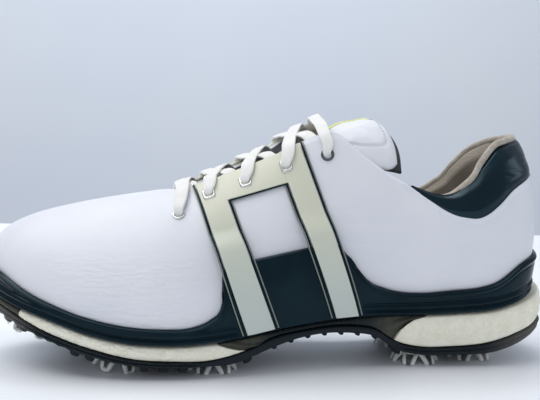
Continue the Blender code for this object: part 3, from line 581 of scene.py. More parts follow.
def sole_loft(name, ends, inset, bottom, top, material, stations=200, rows=16, dress=None, sharp=50):
    """Slab of the sole. ends gives the share of the length where a row starts and stops, so that an
    end can slant; dress gives how far a wall point stands proud, in mm."""
    up = np.linspace(0, 1, rows)
    walls = []
    for side in (0, 1):
        start, stop = ends(up)
        s = start[None, :] + (stop - start)[None, :] * np.linspace(0, 1, stations)[:, None]
        x, y = sole_point(s, side, inset)
        far_x, far_y = sole_point(s, side, inset + 1.0)
        z = bottom(x) + (top(x) - bottom(x)) * up[None, :]
        proud = dress(x, s, side, np.broadcast_to(up, s.shape), z) if dress else 0.0
        walls.append(np.stack([x + (x - far_x) * proud, y + (y - far_y) * proud, z], -1))
    ring = np.concatenate([walls[0], walls[1][:, ::-1]], 1) - CENTRE
    faces = tube_faces(stations, rows * 2)
    return outwards(new_mesh(name, ring.reshape(-1, 3), faces, material, SHOE, sharp))


def pellets(points, size, seed):
    """Height between 0 and 1 of rounded pellets pressed together."""
    flat = np.asarray(points, float).reshape(-1, 3) / size + seed
    height = []
    for p in flat:
        near = noise.voronoi(Vector(p))[0]
        height.append(min(1.0, (near[1] - near[0]) * 1.9))
    return np.sqrt(np.array(height)).reshape(np.asarray(points).shape[:-1])


def crown(up, power=0.5):
    """Rounded wall section: 0 at the bottom and top edges, 1 in between."""
    return np.clip(4 * up * (1 - up), 0, 1) ** power


def make_foams(mats):
    """Cream pellet foam: one block under the ball, one with a rounded front corner under the heel."""
    def fore_ends(up):
        return np.full_like(up, TOE_GUARD_END), sole_share(FOREFOOT_FOAM_END + 7 - 15 * up)

    def heel_ends(up):
        return sole_share(HEEL_FOAM_START - 4 + heel_corner(up)), np.full_like(up, 0.985)

    def swell(amount, seed):
        def dress(place, share, side, up, z):
            x, y = sole_point(share, side, 1.0)
            cell = pellets(np.stack([x, y, z], -1), 3.7, seed)
            tuck = 2.2 * ease((share - 0.86) / 0.08)
            return amount * crown(up) + (0.72 * cell - 0.25) * crown(up, 0.4) - tuck
        return dress

    fore = sole_loft("forefoot_foam", fore_ends, 2.2, outsole_top, lambda x: foam_top(x) - FIT, mats["foam"],
                     400, 28, swell(1.6, 3.0))
    heel = sole_loft("heel_foam", heel_ends, 1.4, outsole_top, lambda x: foam_top(x) - FIT, mats["foam"],
                     260, 36, swell(2.6, 8.0))
    for item, node in ((fore, "forefoot_midsole"), (heel, "heel_midsole")):
        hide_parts(node)


def make_bridge(mats):
    """Smoked mouldings: the bridge with a fin along each foam block, and the guard round the toe."""
    def ends(up):
        return (sole_share(FOREFOOT_FOAM_END + 7.6 - 15 * up),
                sole_share(HEEL_FOAM_START - 4.6 + heel_corner(up)))

    def dress(place, share, side, up, z):
        fore = np.exp(-((place - (FOREFOOT_FOAM_END + 13 - 15 * up)) / 2.6) ** 2)
        heel = np.exp(-((place - (HEEL_FOAM_START - 8 + heel_corner(up))) / 3.2) ** 2)
        return 0.6 * crown(up) + 1.5 * fore + 1.9 * heel

    def guard_ends(up):
        return np.full_like(up, 0.012), np.full_like(up, TOE_GUARD_END - 0.002)

    bridge = sole_loft("midfoot_bridge_moulding", ends, 2.4, outsole_top, lambda x: foam_top(x) - FIT,
                       mats["smoke"], 220, 18, dress)
    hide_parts("midfoot_bridge")
    guard = sole_loft("toe_guard", guard_ends, 2.0, outsole_top, lambda x: foam_top(x) - FIT, mats["smoke"],
                      90, 16, lambda place, share, side, up, z: 1.6 * crown(up))
    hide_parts("forefoot_midsole")


def cleat_place(x, y):
    """Matrix in mm of a cleat: upright on the tread, square to the sole where that is steep."""
    slope = float(outsole_base(x + 4.0) - outsole_base(x - 4.0)) / 8.0
    if abs(slope) < CLEAT_STEEP:
        return Matrix.Translation((x - CENTRE[0], y - CENTRE[1], CLEAT_HEIGHT))
    matrix = Matrix.Rotation(-math.atan(slope), 4, "Y")
    matrix.translation = (x - CENTRE[0], y - CENTRE[1], float(outsole_base(x)) + 0.5)
    return matrix


def cylinder_cutter(place, radius, low, high):
    work = bmesh.new()
    bmesh.ops.create_cone(work, cap_ends=True, segments=48, radius1=radius * MM, radius2=radius * MM,
                          depth=(high - low) * MM)
    bmesh.ops.translate(work, verts=work.verts, vec=(0, 0, (high + low) / 2 * MM))
    mesh = bpy.data.meshes.new("cutter")
    work.to_mesh(mesh)
    work.free()
    item = bpy.data.objects.new("cutter", mesh)
    place = place.copy()
    place.translation = place.translation * MM
    item.matrix_world = place
    bpy.context.scene.collection.objects.link(item)
    return item


def apply_modifiers(item):
    evaluated = item.evaluated_get(bpy.context.evaluated_depsgraph_get())
    mesh = bpy.data.meshes.new_from_object(evaluated)
    item.modifiers.clear()
    item.data = mesh
    return item


def make_outsole(mats):
    """Tread plate: a lip that the foam sits in, a curled toe and heel, and pockets for the cleats."""
    def ends(up):
        return np.full_like(up, 0.010), np.full_like(up, 0.990)

    def dress(x, s, side, up, z):
        tread = ease((-30 - x) / 20) + ease((x - 60) / 12)
        lip = np.exp(-((up - 0.86) / 0.12) ** 2) * 0.9 - np.exp(-((up - 0.55) / 0.10) ** 2) * 0.5
        notch = 0.5 * np.cos(x * 2 * np.pi / 5.5) * np.clip(1 - up * 2.4, 0, 1) * ease(-x / 30)
        return 0.8 * crown(up) + (lip + notch) * tread - 2.0 * ease((s - 0.9) / 0.06)

    plate = sole_loft("outsole_plate", ends, 1.2, outsole_base, lambda x: outsole_top(x) - 2 * FIT,
                      mats["outsole"], 360, 16, dress, 60)
    cutters = [cylinder_cutter(cleat_place(x, y), 9.9, -4.0, 1.8) for _, x, y in CLEATS]
    for cutter in cutters:
        cut = plate.modifiers.new("pocket", "BOOLEAN")
        cut.operation = "DIFFERENCE"
        cut.object = cutter
    apply_modifiers(plate)
    for cutter in cutters:
        bpy.data.objects.remove(cutter)
    plate.data.shade_smooth()
    plate.data.set_sharp_from_angle(angle=math.radians(50))
    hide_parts("outsole")

    lugs = []
    fore = [(-142, 0), (-133, 0), (-104, 0), (-96, 0), (-68, 0), (-58, 0), (-48, 0), (-14, 0)]
    fore += [(-142, 1), (-133, 1), (-116, 1), (-82, 1), (-72, 1), (-46, 1), (-12, 1)]
    heel = [(66, 0), (66, 1), (96, 1), (106, 1), (136, 1)]
    arch = [(x, side) for x in range(0, 56, 9) for side in (0, 1)]
    for group, size in ((fore, (4.6, 3.4, 3.0)), (heel, (4.6, 3.4, 2.6)), (arch, (2.2, 5.0, 1.8))):
        for x, side in group:
            lugs.append((x, side, size))
    points, faces = [], []
    for x, side, (long, wide, deep) in lugs:
        s = sole_share(x)
        px, py = sole_point(s, side, 5.0)
        qx, qy = sole_point(s, side, 6.0)
        inward = np.array([float(qx - px), float(qy - py), 0.0])
        along = np.array([-inward[1], inward[0], 0.0])
        base = np.array([float(px), float(py), float(outsole_base(px))])
        slope = float(outsole_base(px + 2) - outsole_base(px - 2)) / 4
        deep = min(deep, base[2] - 0.8)
        start = len(points)
        for level, size in ((0.8, 1.15), (-deep * 0.75, 0.95), (-deep, 0.72)):
            for c, d in zip(*round_square(np.linspace(0, 2 * np.pi, 16, endpoint=False), 0.5)):
                p = base + along * c * long / 2 * size + inward * d * wide / 2 * size
                p[2] += level + (p[0] - base[0]) * slope
                points.append(p - CENTRE)
        faces += tube_faces(3, 16, start)
    lug_piece = outwards(new_mesh("outsole_lugs", points, faces, mats["outsole"], SHOE, 40))


def rounded_box_sweep(centres, wides, outs, widths, depths, sides=12):
    """Rings of a tube with a rounded square section through the given frames."""
    rings = []
    for centre, wide, out, width, depth in zip(centres, wides, outs, widths, depths):
        for c, d in zip(*round_square(np.linspace(0, 2 * np.pi, sides, endpoint=False), 0.6)):
            rings.append(centre + wide * c * width / 2 + out * d * depth / 2)
    return rings


def cleat_meshes():
    """Frosted spider with six U legs, and the grey webs in its legs; axis Z, ground side down."""
    frame_points, frame_faces, web_points, web_faces = [], [], [], []

    def add(points, faces, rings, sides, count):
        faces += tube_faces(count, sides, len(points))
        points += rings

    hub = [(0.01, 1.5), (3.6, 1.5), (4.0, 1.2), (4.0, -0.3), (8.4, -0.4), (9.1, -0.8), (9.2, -1.5),
           (8.7, -2.2), (6.6, -2.6), (5.2, -2.4), (4.4, -3.4), (2.0, -3.9), (0.01, -4.0)]
    turn = np.linspace(0, 2 * np.pi, 48, endpoint=False)
    rings = [np.array([r * np.cos(a), r * np.sin(a), z]) for r, z in hub for a in turn]
    add(frame_points, frame_faces, rings, 48, len(hub))
    for leg in range(6):
        angle = leg * math.pi / 3
        out = np.array([math.cos(angle), math.sin(angle), 0.0])
        tangent = np.array([-out[1], out[0], 0.0])
        root = out * 7.6 + np.array([0, 0, -1.2])
        tip = out * 12.1 + np.array([0, 0, -7.5])
        down = unit(tip - root)
        face = np.cross(tangent, down)
        path = []
        for t in np.linspace(0, 1, 9):
            path.append((t, 3.2 - 1.4 * t ** 1.3))
        outline_points = [(t, -w) for t, w in path]
        outline_points += [(1.0 + 0.11 * math.cos(b), 1.85 * math.sin(b)) for b in np.linspace(-1.2, 1.2, 7)]
        outline_points += [(t, w) for t, w in reversed(path)]
        length = np.linalg.norm(tip - root)
        curve = np.array([root + down * t * length + tangent * w + out * 0.9 * math.sin(t * math.pi)
                          for t, w in outline_points])
        wides = unit(np.cross(face, unit(np.gradient(curve, axis=0))))
        shares = [t for t, _ in outline_points]
        rings = rounded_box_sweep(curve, wides, [face] * len(curve), [2.1] * len(curve),
                                  [2.7 - 0.8 * min(t, 1) for t in shares], 10)
        add(frame_points, frame_faces, rings, 10, len(curve))
        places = np.linspace(-0.05, 0.98, 8)
        centres = [root + down * t * length + out * 0.9 * math.sin(max(t, 0) * math.pi) for t in places]
        widths = [2 * (2.7 - 1.4 * max(t, 0) ** 1.3) for t in places]
        rings = rounded_box_sweep(centres, [tangent] * 8, [face] * 8, widths, [1.5] * 8, 12)
        add(web_points, web_faces, rings, 12, 8)
    return (frame_points, frame_faces), (web_points, web_faces)


def make_cleats(mats):
    (points, faces), (web_points, web_faces) = cleat_meshes()
    for name, x, y in CLEATS:
        place = cleat_place(x, y)
        body = "cleat_" + name
        for label, source, facing, finish in (("spider", points, faces, "cleat"), ("webs", web_points,
                                              web_faces, "insert")):
            placed = [place @ Vector(p) for p in source]
            placed = [(p.x, p.y, max(p.z, 0.05)) for p in placed]
            item = outwards(new_mesh(f"{body}_{label}", placed, facing, mats[finish], body, 45))
            if label == "spider":
                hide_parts(body)


# ---- upper -------------------------------------------------------------------------------
def make_leather(mats):
    """Vamp and quarters: smooth full-grain leather, softly creased where the foot flexes."""
    def creased(loops, heights, seed):
        grid = np.broadcast_to(loops, heights.shape)
        points = on_upper(grid, heights)
        half, _ = half_loop(grid)
        soft = ripple(points, 26, seed) * 0.35
        flex = np.exp(-((half - 0.33) / 0.045) ** 2) * ease((0.5 - heights) / 0.2) * ease(heights / 0.12)
        arch = np.exp(-((half - 0.185) / 0.05) ** 2) * ease((0.8 - heights) / 0.3) * ease(heights / 0.2)
        fine = creases(points, (0.16, 0.3, 1.0), 4.2, seed + 4, 0.16)
        broad = creases(points, (0.25, 0.3, 1.0), 11, seed + 9, 0.2)
        edge = 0.5 * ease((heights - 0.965) / 0.035)
        return soft - 0.13 * fine * (flex + 0.25 * arch) - 0.2 * broad * (0.4 * flex + arch) - edge

    rows = 170
    up = 1 - (1 - np.linspace(0, 1, rows)[:, None]) ** 1.05
    gap = 0.0006
    loops = np.linspace(VAMP_EDGE + gap, 1 - VAMP_EDGE - gap, 330)
    heights = np.broadcast_to(up, (rows, len(loops)))
    vamp = shell("vamp_leather", loops, heights, creased(loops, heights, 2.0), LEATHER, mats["leather"])
    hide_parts("vamp")
    for label, low, high in (("lateral", gap, VAMP_EDGE - gap), ("medial", 1 - VAMP_EDGE + gap, 1 - gap)):
        loops = np.linspace(low, high, 250)
        half, _ = half_loop(loops)
        top = np.where(half < COLLAR_FRONT, np.minimum(collar_edge(half), 1.0), 1.0)
        heights = up * top[None, :]
        over = np.where(half[None, :] < COLLAR_FRONT, 0.9 * ease((up - 0.93) / 0.05), 0.0)
        lift = creased(loops, heights, 5.0) + over
        quarter = shell("quarter_leather_" + label, loops, heights, lift, LEATHER, mats["leather"])
        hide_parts("quarter_" + label)


def make_collar(mats):
    """Padded black heel collar, its taupe roll, and the lining."""
    rows, loops = 48, np.linspace(0.002 - COLLAR_FRONT, COLLAR_FRONT - 0.002, 300)
    half = half_loop(loops)[0]
    low = np.minimum(collar_edge(half) - 0.03, 0.955)
    narrow = ease((half - 0.118) / 0.02)[None, :]
    up = np.linspace(0, 1, rows)[:, None]
    heights = low + (0.99 + 0.01 * narrow - low) * up
    points = on_upper(np.broadcast_to(loops, heights.shape), heights)
    puff = ease(up / 0.3) * ease((1.0 - up) / 0.35)
    deep = np.minimum(row_lengths(loops, low, 0.99) / 14, 1.0)[None, :]
    waist = np.exp(-((up - 0.45) / 0.2) ** 2) * ease((0.115 - half) / 0.04)[None, :]
    crease = creases(points, (0.2, 0.2, 1.0), 4.0, 3.3, 0.12) * waist
    heel_flat = 1 - 0.75 * ease((0.075 - half) / 0.06)[None, :]
    lift = -0.3 + (2.2 * deep * heel_flat - 0.3 * crease + 0.25 * ripple(points, 16, 7.1)) * puff
    dip = 1.6 - 1.0 * ease((0.08 - half) / 0.06)[None, :]
    lift = lift - dip * ease((up - 0.9) / 0.1) * (1 - narrow) + 0.5 * narrow
    panel = shell("collar_leather", loops, heights, lift, COLLAR_LEATHER, mats["collar"])
    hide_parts("collar_panel")

    last = 0.212
    loops = np.linspace(-last, 0.186, 180)
    path = bare_upper(loops, 1.0) - CENTRE
    normal = upper_normal(loops, 0.985)
    sunk = ease((np.abs(loops) - 0.128) / 0.03)[:, None] * (1 - 0.6 * ease((-loops - 0.184) / 0.01)[:, None])
    heel = ease((0.08 - np.abs(loops)) / 0.06)[:, None]
    path = path - normal * (1.2 + 2.9 * sunk + 1.8 * heel) + np.array([0, 0, 0.9]) * (1 - 3.4 * sunk)
    wide, up_way = band_frame(path, [0, 0, 1.0])
    taper = np.minimum(ease((0.186 - loops) / 0.01), ease((last + loops) / 0.01)) * 0.6 + 0.4
    wobble = 1 + 0.06 * ripple(path, 7, 1.2)
    roll = sweep("collar_roll", path, wide, up_way, 3.1 * taper * wobble, 3.6 * taper, mats["binding"],
                 SHOE, 20, 1.0)
    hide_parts("collar_piping")

    rows, loops = 60, np.linspace(0, 1, 421)[:-1]
    half, _ = half_loop(loops)
    top = 0.995 - 0.135 * ease((half - 0.205) / 0.02)
    heights = 0.03 + (top[None, :] - 0.03) * np.linspace(0, 1, rows)[:, None]
    grid = np.broadcast_to(loops, heights.shape)
    points = on_upper(grid, heights)
    pad = ease((heights - 0.45) / 0.3) * ease((0.19 - np.broadcast_to(half, heights.shape)) / 0.05)
    lift = -3.8 - pad * 2.0 * ease((1.0 - heights) / 0.06) + ripple(points, 11, 5.5) * 0.4
    lift = lift + 1.9 * ease((heights - 0.95) / 0.045) * ease((0.19 - half) / 0.03)[None, :]
    lining = shell("lining_textile", loops, heights, lift, LINING, mats["lining"], rim=0, wrap=True)
    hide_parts("lining")


def make_frame(mats):
    """Glossy moulded frame: ridged welt, saddle windows and the tail that climbs the heel."""
    rows = 64
    base = np.linspace(0, 0.5, 330)
    steep = [np.linspace(0, 0.012, 14), np.linspace(0.262, 0.28, 40), np.linspace(0.183, 0.206, 30)]
    marks = np.unique(np.concatenate([base, *steep]))
    loops = np.concatenate([marks, 1 - marks[-2:0:-1]])
    half, _ = half_loop(loops)
    top = frame_edge(half)
    share = np.linspace(0, 1, rows)[:, None] ** 1.15
    heights = 0.012 + (top[None, :] - 0.012) * share
    length = row_lengths(loops, 0.012, top)
    above = share * length[None, :]
    below_top = (1 - share) * length[None, :]
    under_strap = ease((half - 0.198) / 0.006) * ease((0.274 - half) / 0.006)
    welt = 1 - under_strap[None, :]
    ridge = (1.0 * np.exp(-((above - 1.4) / 1.1) ** 2) + 0.8 * np.exp(-((above - 4.9) / 1.2) ** 2)
             - 0.7 * np.exp(-((above - 3.2) / 0.6) ** 2) - 0.6 * np.exp(-((above - 6.8) / 0.7) ** 2))
    bead = 0.45 * np.exp(-((below_top - 1.6) / 0.9) ** 2) - 0.25 * np.exp(-((below_top - 3.4) / 0.7) ** 2)
    roll = 2.3 * (1 - ease(below_top / 1.3) ** 0.5)
    tail = 1.5 * ease((0.07 - half) / 0.05)[None, :]
    lift = 3.1 - tail + (ridge + bead) * welt - roll
    body = shell("frame_moulding", loops, heights, lift, FRAME_WALL, mats["tpu"], rim=0, wrap=True)
    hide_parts("tpu_frame")


def strap_profile(height):
    over, low = 3.9, 0.7
    return low + (over - low) * (1 - ease((height - 0.46) / 0.14))


def make_straps(mats):
    """Forked saddle strap on each side, with black edging and a clear film rim outside it, whose light
    grey-green colour is a painted highlight on the film's edge.
    """
    rear, front = STRAP_REAR, STRAP_FRONT
    fork = 0.77
    for side, label in ((0, "lateral"), (1, "medial")):
        columns = np.concatenate([np.linspace(*rear, 16), np.linspace(rear[1], front[0], 26)[1:-1],
                                  np.linspace(*front, 16)])
        rows = np.concatenate([np.linspace(0.03, fork, 110), np.linspace(fork, 0.985, 34)[1:]])
        heights = np.broadcast_to(rows[:, None], (len(rows), len(columns)))
        inner = (columns > rear[1] - 1e-6) & (columns < front[0] - 1e-6)
        keep = np.ones((len(rows), len(columns)), bool)
        keep[np.ix_(rows < fork - 1e-6, inner)] = False
        loops = columns if side == 0 else 1 - columns
        leg = np.where(columns < (rear[1] + front[0]) / 2, (columns - rear[0]) / (rear[1] - rear[0]),
                       (columns - front[0]) / (front[1] - front[0]))
        across = np.clip(leg, 0, 1)
        dome = 0.35 * crown(np.where((leg < 0) | (leg > 1), 0.5, across), 0.5)
        lift = strap_profile(heights) + 1.3 + dome[None, :]
        strap = shell(f"saddle_strap_{label}_moulding", loops, heights, lift, STRAP_WALL, mats["strap"],
                      keep, 0.35)
        outwards(strap)
        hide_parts(f"saddle_strap_{label}")

        def line(loop_list, height_list, rise):
            loop_list = np.asarray(loop_list, float)
            height_list = np.asarray(height_list, float)
            loop_list = loop_list if side == 0 else 1 - loop_list
            return on_upper(loop_list, height_list, strap_profile(height_list) + rise)

        def edging(name, shift, rise, wide, tall, finish):
            """Band around both legs and the window, shifted out from the cream edge."""
            tall_run = np.linspace(0.03, 0.985, 130)
            leg_run = np.linspace(0.03, fork, 110)
            parts = [(np.full(130, rear[0] - shift), tall_run), (np.full(130, front[1] + shift), tall_run)]
            corner = np.linspace(0, 1, 40)[1:-1]
            window_loops = np.concatenate([np.full(110, rear[1] + shift),
                                           rear[1] + shift + (front[0] - rear[1] - 2 * shift) * corner,
                                           np.full(110, front[0] - shift)])
            window_heights = np.concatenate([leg_run, np.full(38, fork - shift * 2.6), leg_run[::-1]])
            window_heights = np.minimum(window_heights, fork - shift * 2.6)
            parts.append((window_loops, window_heights))
            for number, (loop_list, height_list) in enumerate(parts, 1):
                path = line(loop_list, height_list, rise)
                moved = np.concatenate([[True], np.linalg.norm(np.diff(path, axis=0), axis=1) > 1e-3])
                path = path[moved]
                out = line(loop_list, height_list, rise + 1.0)[moved] - path
                wide_way, _ = band_frame(path, out)
                ones = np.ones(len(path))
                band = sweep(f"{name}_{label}_{number}", path, wide_way, out, ones * wide, ones * tall,
                             mats[finish], SHOE, 10)
        edging("strap_edging", 0.0009, 0.6, 1.0, 1.2, "tpu")
        # The outer band is the clear film's edge, coloured as a painted highlight.
        edging("strap_edge_highlight", 0.0020, 0.2, 0.7, 0.8, "film_highlight")


def surface_frame(loop, height, lift):
    """Centre, along the loop, up the upper and outwards, in mm."""
    loop, height = np.float64(loop), np.float64(height)
    out = upper_normal(loop, height)
    up = bare_upper(loop, height + 0.03) - bare_upper(loop, height - 0.03)
    up = unit(up - out * up.dot(out))
    return on_upper(loop, height, lift), np.cross(up, out), up, out


def make_eyelets(mats):
    """Turned metal rings: round ones in the leather, rounded square plates on the straps."""
    section = [(1.0, -2.2), (1.0, 0.2), (1.06, 0.75), (1.25, 1.0), (1.5, 0.95), (1.72, 0.6), (1.8, 0.15),
               (1.78, -0.4)]
    turn = np.linspace(0, 2 * np.pi, 56, endpoint=False)
    for side, label in ((0, "lateral"), (1, "medial")):
        for number, (shape, loop, height) in enumerate(EYELETS, 1):
            loop = loop if side == 0 else 1 - loop
            square = shape == "square"
            centre, along, up, out = surface_frame(loop, height, 2.1 if square else 0.1)
            hole = 1.85 if square else 2.1
            power = 0.42 if square else 1.0
            points = []
            for scale, rise in section:
                if not square and scale > 1.5:
                    scale = 1.0 + (scale - 1.0) * 0.82
                for c, d in zip(*round_square(turn, power)):
                    points.append(centre + (along * c + up * d * (1.12 if square else 1.0)) * hole * scale
                                  + out * rise * (0.9 if square else 0.7))
            count = len(turn)
            faces = [(r * count + a, r * count + (a + 1) % count, ((r + 1) % len(section)) * count
                      + (a + 1) % count, ((r + 1) % len(section)) * count + a)
                     for r in range(len(section)) for a in range(count)]
            finish = "gunmetal" if number == 5 else "metal"
            item = outwards(new_mesh(f"eyelet_ring_{label}_{number}", points, faces, mats[finish], SHOE, 60))
            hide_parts(f"eyelet_{label}_{number}")
            # Near-black disc just behind the hole: painted shade of the hole's inside.
            disc = [centre + (along * np.cos(a) + up * np.sin(a)) * hole * 1.3 - out * depth
                    for depth in (1.2, 1.9) for a in turn[::2]]
            faces = tube_faces(2, len(turn) // 2)
            back = outwards(new_mesh(f"eyelet_hole_shade_{label}_{number}", disc, faces, mats["hole"], SHOE, 60))


# ---- lace and tongue ---------------------------------------------------------------------
THROAT_UP = np.array([-math.sin(math.radians(22)), 0, math.cos(math.radians(22))])


def smooth_path(points, count):
    points = np.asarray(points, float)
    run = run_along(points)
    keys = [(r, *p) for r, p in zip(run, points)]
    return cubic(keys)(np.linspace(0, run[-1], count))


def ribbon(name, node, points, ups, widths, heights, mats, count=110):
    path = smooth_path(points, count)
    up = smooth_path_values(points, ups, count)
    width = smooth_path_values(points, widths, count)
    height = smooth_path_values(points, heights, count)
    wide, up = band_frame(path, up)
    item = sweep(name, path, wide, up, width, height, mats["lace"], SHOE, 20, 0.55)
    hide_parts(node)


def smooth_path_values(points, values, count):
    values = np.asarray(values, float)
    run = run_along(np.asarray(points, float))
    flat = values.reshape(len(points), -1)
    at = np.linspace(0, run[-1], count)
    out = np.stack([np.interp(at, run, flat[:, i]) for i in range(flat.shape[1])], -1)
    return out[:, 0] if values.ndim == 1 else out


def side_loop(loop, side):
    return loop if side == 0 else 1 - loop


def lace_run(name, node, start, end, rise, mats):
    """One crossing: out of an eyelet, bunched over the eyestay's edge, across, and under the far edge.
    start and end are (eyelet number, side)."""
    (a, side_a), (b, side_b) = start, end
    _, loop_a, height_a = EYELETS[a]
    _, loop_b, height_b = EYELETS[b]
    lean = (loop_b - loop_a) if a != b else 0.0
    lift = 2.2 if EYELETS[a][0] == "square" else 0.6
    leave = side_loop(loop_a + lean * 0.12, side_a)
    over = side_loop(loop_a + lean * 0.2, side_a)
    reach = side_loop(loop_b - lean * 0.22, side_b)
    hole_a, hole_b = side_loop(loop_a, side_a), side_loop(loop_b, side_b)
    near = bare_upper(over, 1.0) - CENTRE
    far = bare_upper(reach, 1.0) - CENTRE
    way = unit(far - near)
    points = [on_upper(hole_a, height_a, -1.6), on_upper(hole_a, height_a + 0.006, lift + 0.9),
              on_upper(leave, height_a + (1 - height_a) * 0.42, lift + 2.1),
              on_upper(over, height_a + (1 - height_a) * 0.86, lift + 1.7),
              near + way * 3.2 + THROAT_UP * (1.9 + rise * 0.3),
              near * 0.5 + far * 0.5 + THROAT_UP * (1.2 + rise),
              far - way * 4.6 + THROAT_UP * (0.4 + rise * 0.35),
              far - way * 0.6 - THROAT_UP * 2.6,
              on_upper(reach, height_b + (1 - height_b) * 0.45, -3.1),
              on_upper(hole_b, height_b, -2.4)]
    out_a, out_b = upper_normal(leave, height_a), upper_normal(reach, height_b)
    ups = [out_a, out_a, out_a, (out_a + THROAT_UP) / 2, THROAT_UP, THROAT_UP, THROAT_UP,
           (out_b + THROAT_UP) / 2, out_b, out_b]
    widths = [3.6, 4.6, 6.6, 7.2, 7.4, 7.2, 7.0, 6.4, 5.4, 3.6]
    heights = [2.0, 2.4, 2.0, 1.9, 1.7, 1.6, 1.6, 1.5, 1.4, 1.4]
    ribbon(name, node, points, ups, widths, heights, mats)


def bar_run(name, node, number, rise, slant, mats):
    """A crossing between the two eyelets of one row, on top of both eyestays; slant moves its
    medial half towards the heel."""
    _, loop, height = EYELETS[number]
    lift = 0.6
    sides = []
    for side in (0, 1):
        hole = side_loop(loop, side)
        edge = side_loop(loop - 0.002, side)
        top = bare_upper(edge, 1.0) - CENTRE
        inward = np.array([0, 1.0 if side == 0 else -1.0, 0])
        sides.append(([on_upper(hole, height, -1.6), on_upper(hole, height + 0.01, lift + 0.9),
                       on_upper(edge, height + (1 - height) * 0.4, lift + 1.9),
                       on_upper(edge, height + (1 - height) * 0.8, lift + 1.8),
                       top + inward * 2.4 + THROAT_UP * (1.9 + rise * 0.4)],
                      upper_normal(hole, height)))
    (near, out_near), (far, out_far) = sides
    middle = (near[-1] + far[-1]) / 2 + THROAT_UP * rise
    points = np.array(near + [middle] + far[::-1])
    points[:, 0] += slant * np.array([0, 0, 0.1, 0.25, 0.5, 0.9, 1, 0.8, 0.4, 0.1, 0])
    ups = [out_near] * 3 + [(out_near + THROAT_UP) / 2, THROAT_UP, THROAT_UP, THROAT_UP,
                            (out_far + THROAT_UP) / 2] + [out_far] * 3
    widths = [3.4, 4.2, 5.8, 6.2, 6.4, 6.4, 6.4, 6.2, 5.8, 4.2, 3.4]
    heights = [2.0, 2.4, 2.0, 1.8, 1.7, 1.6, 1.7, 1.8, 2.0, 2.4, 2.0]
    ribbon(name, node, points, ups, widths, heights, mats)


def make_lace(mats):
    bar_run("lace_first_bar", "lace_bar", 0, 1.2, 0.0, mats)
    bar_run("lace_last_bar", "lace_top_bar", 4, 2.0, 1.5, mats)
    for number in range(4):
        lace_run(f"lace_crossing_{number + 1}_under", f"lace_{number + 1}_to_lateral",
                 (number, 1), (number + 1, 0), 0.4, mats)
        lace_run(f"lace_crossing_{number + 1}_over", f"lace_{number + 1}_to_medial",
                 (number, 0), (number + 1, 1), 2.2, mats)


def tongue_surface(loop, across, depth):
    """Tongue point: loop along the eyestay, across -1 lateral to 1 medial, at a depth under the upper."""
    heights = [h - 0.08 * ease((0.212 - loop) / 0.01) for h in (0.85, 0.92, 0.985)]
    lateral = np.stack([on_upper(loop, h, -depth) for h in heights], 0)
    medial = np.stack([on_upper(1 - loop, h, -depth) for h in heights[::-1]], 0)
    middle = ((lateral[2] + medial[0]) / 2 + np.array([0, 0, 0.9]))[None]
    keys = np.concatenate([lateral, middle, medial], 0)
    places = np.array([-1.0, -0.8, -0.55, 0.0, 0.55, 0.8, 1.0])
    curve = cubic([(p, *k.reshape(-1)) for p, k in zip(places, keys)])
    return curve(across).reshape(len(across), *keys.shape[1:])


def make_tongue(mats):
    loops = np.linspace(0.315, 0.192, 90)
    across = np.linspace(-1, 1, 60)
    depth = 6.3
    points = tongue_surface(loops, across, depth)
    flat = points.reshape(-1, 3)
    flat = flat + np.stack([np.zeros(len(flat)), np.zeros(len(flat)), ripple(flat, 8, 2.2) * 0.5], -1)
    item = new_mesh("tongue_textile", flat, grid_faces(len(across), len(loops)), mats["tongue"], SHOE, 0)
    solid = item.modifiers.new("thickness", "SOLIDIFY")
    solid.thickness = 3.2 * MM
    solid.offset = 1.0
    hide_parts("tongue")


def tab_sheet(share, span):
    """Mid-surface of the tongue tab, in the CAD model's own millimetres."""
    x = cubic([(0, 30), (0.15, 34), (0.5, 46), (0.85, 58), (1, 61.5)])(share)
    z = cubic([(0, 118.2), (0.15, 121.5), (0.5, 125.0), (0.85, 126.0), (1, 124.0)])(share)
    half = cubic([(0, 13), (0.15, 15.5), (0.35, 19.5), (0.5, 20.5), (0.85, 20.5), (1, 18.5)])(share)
    lateral = cubic([(0, 8.5), (0.15, 10.5), (0.5, 17.5), (0.85, 21), (1, 20)])(share)
    medial = cubic([(0, 8), (0.15, 9), (0.5, 13), (0.85, 15), (1, 13)])(share)
    drop = np.where(span < 0, lateral, medial)
    back = cubic([(0, 0), (0.5, 2.0), (1, 4.2)])(share) * ease(np.abs(span) / 0.8)
    return np.stack([x + back, half * span, z - drop * span ** 2 + 1.5 * span], -1)


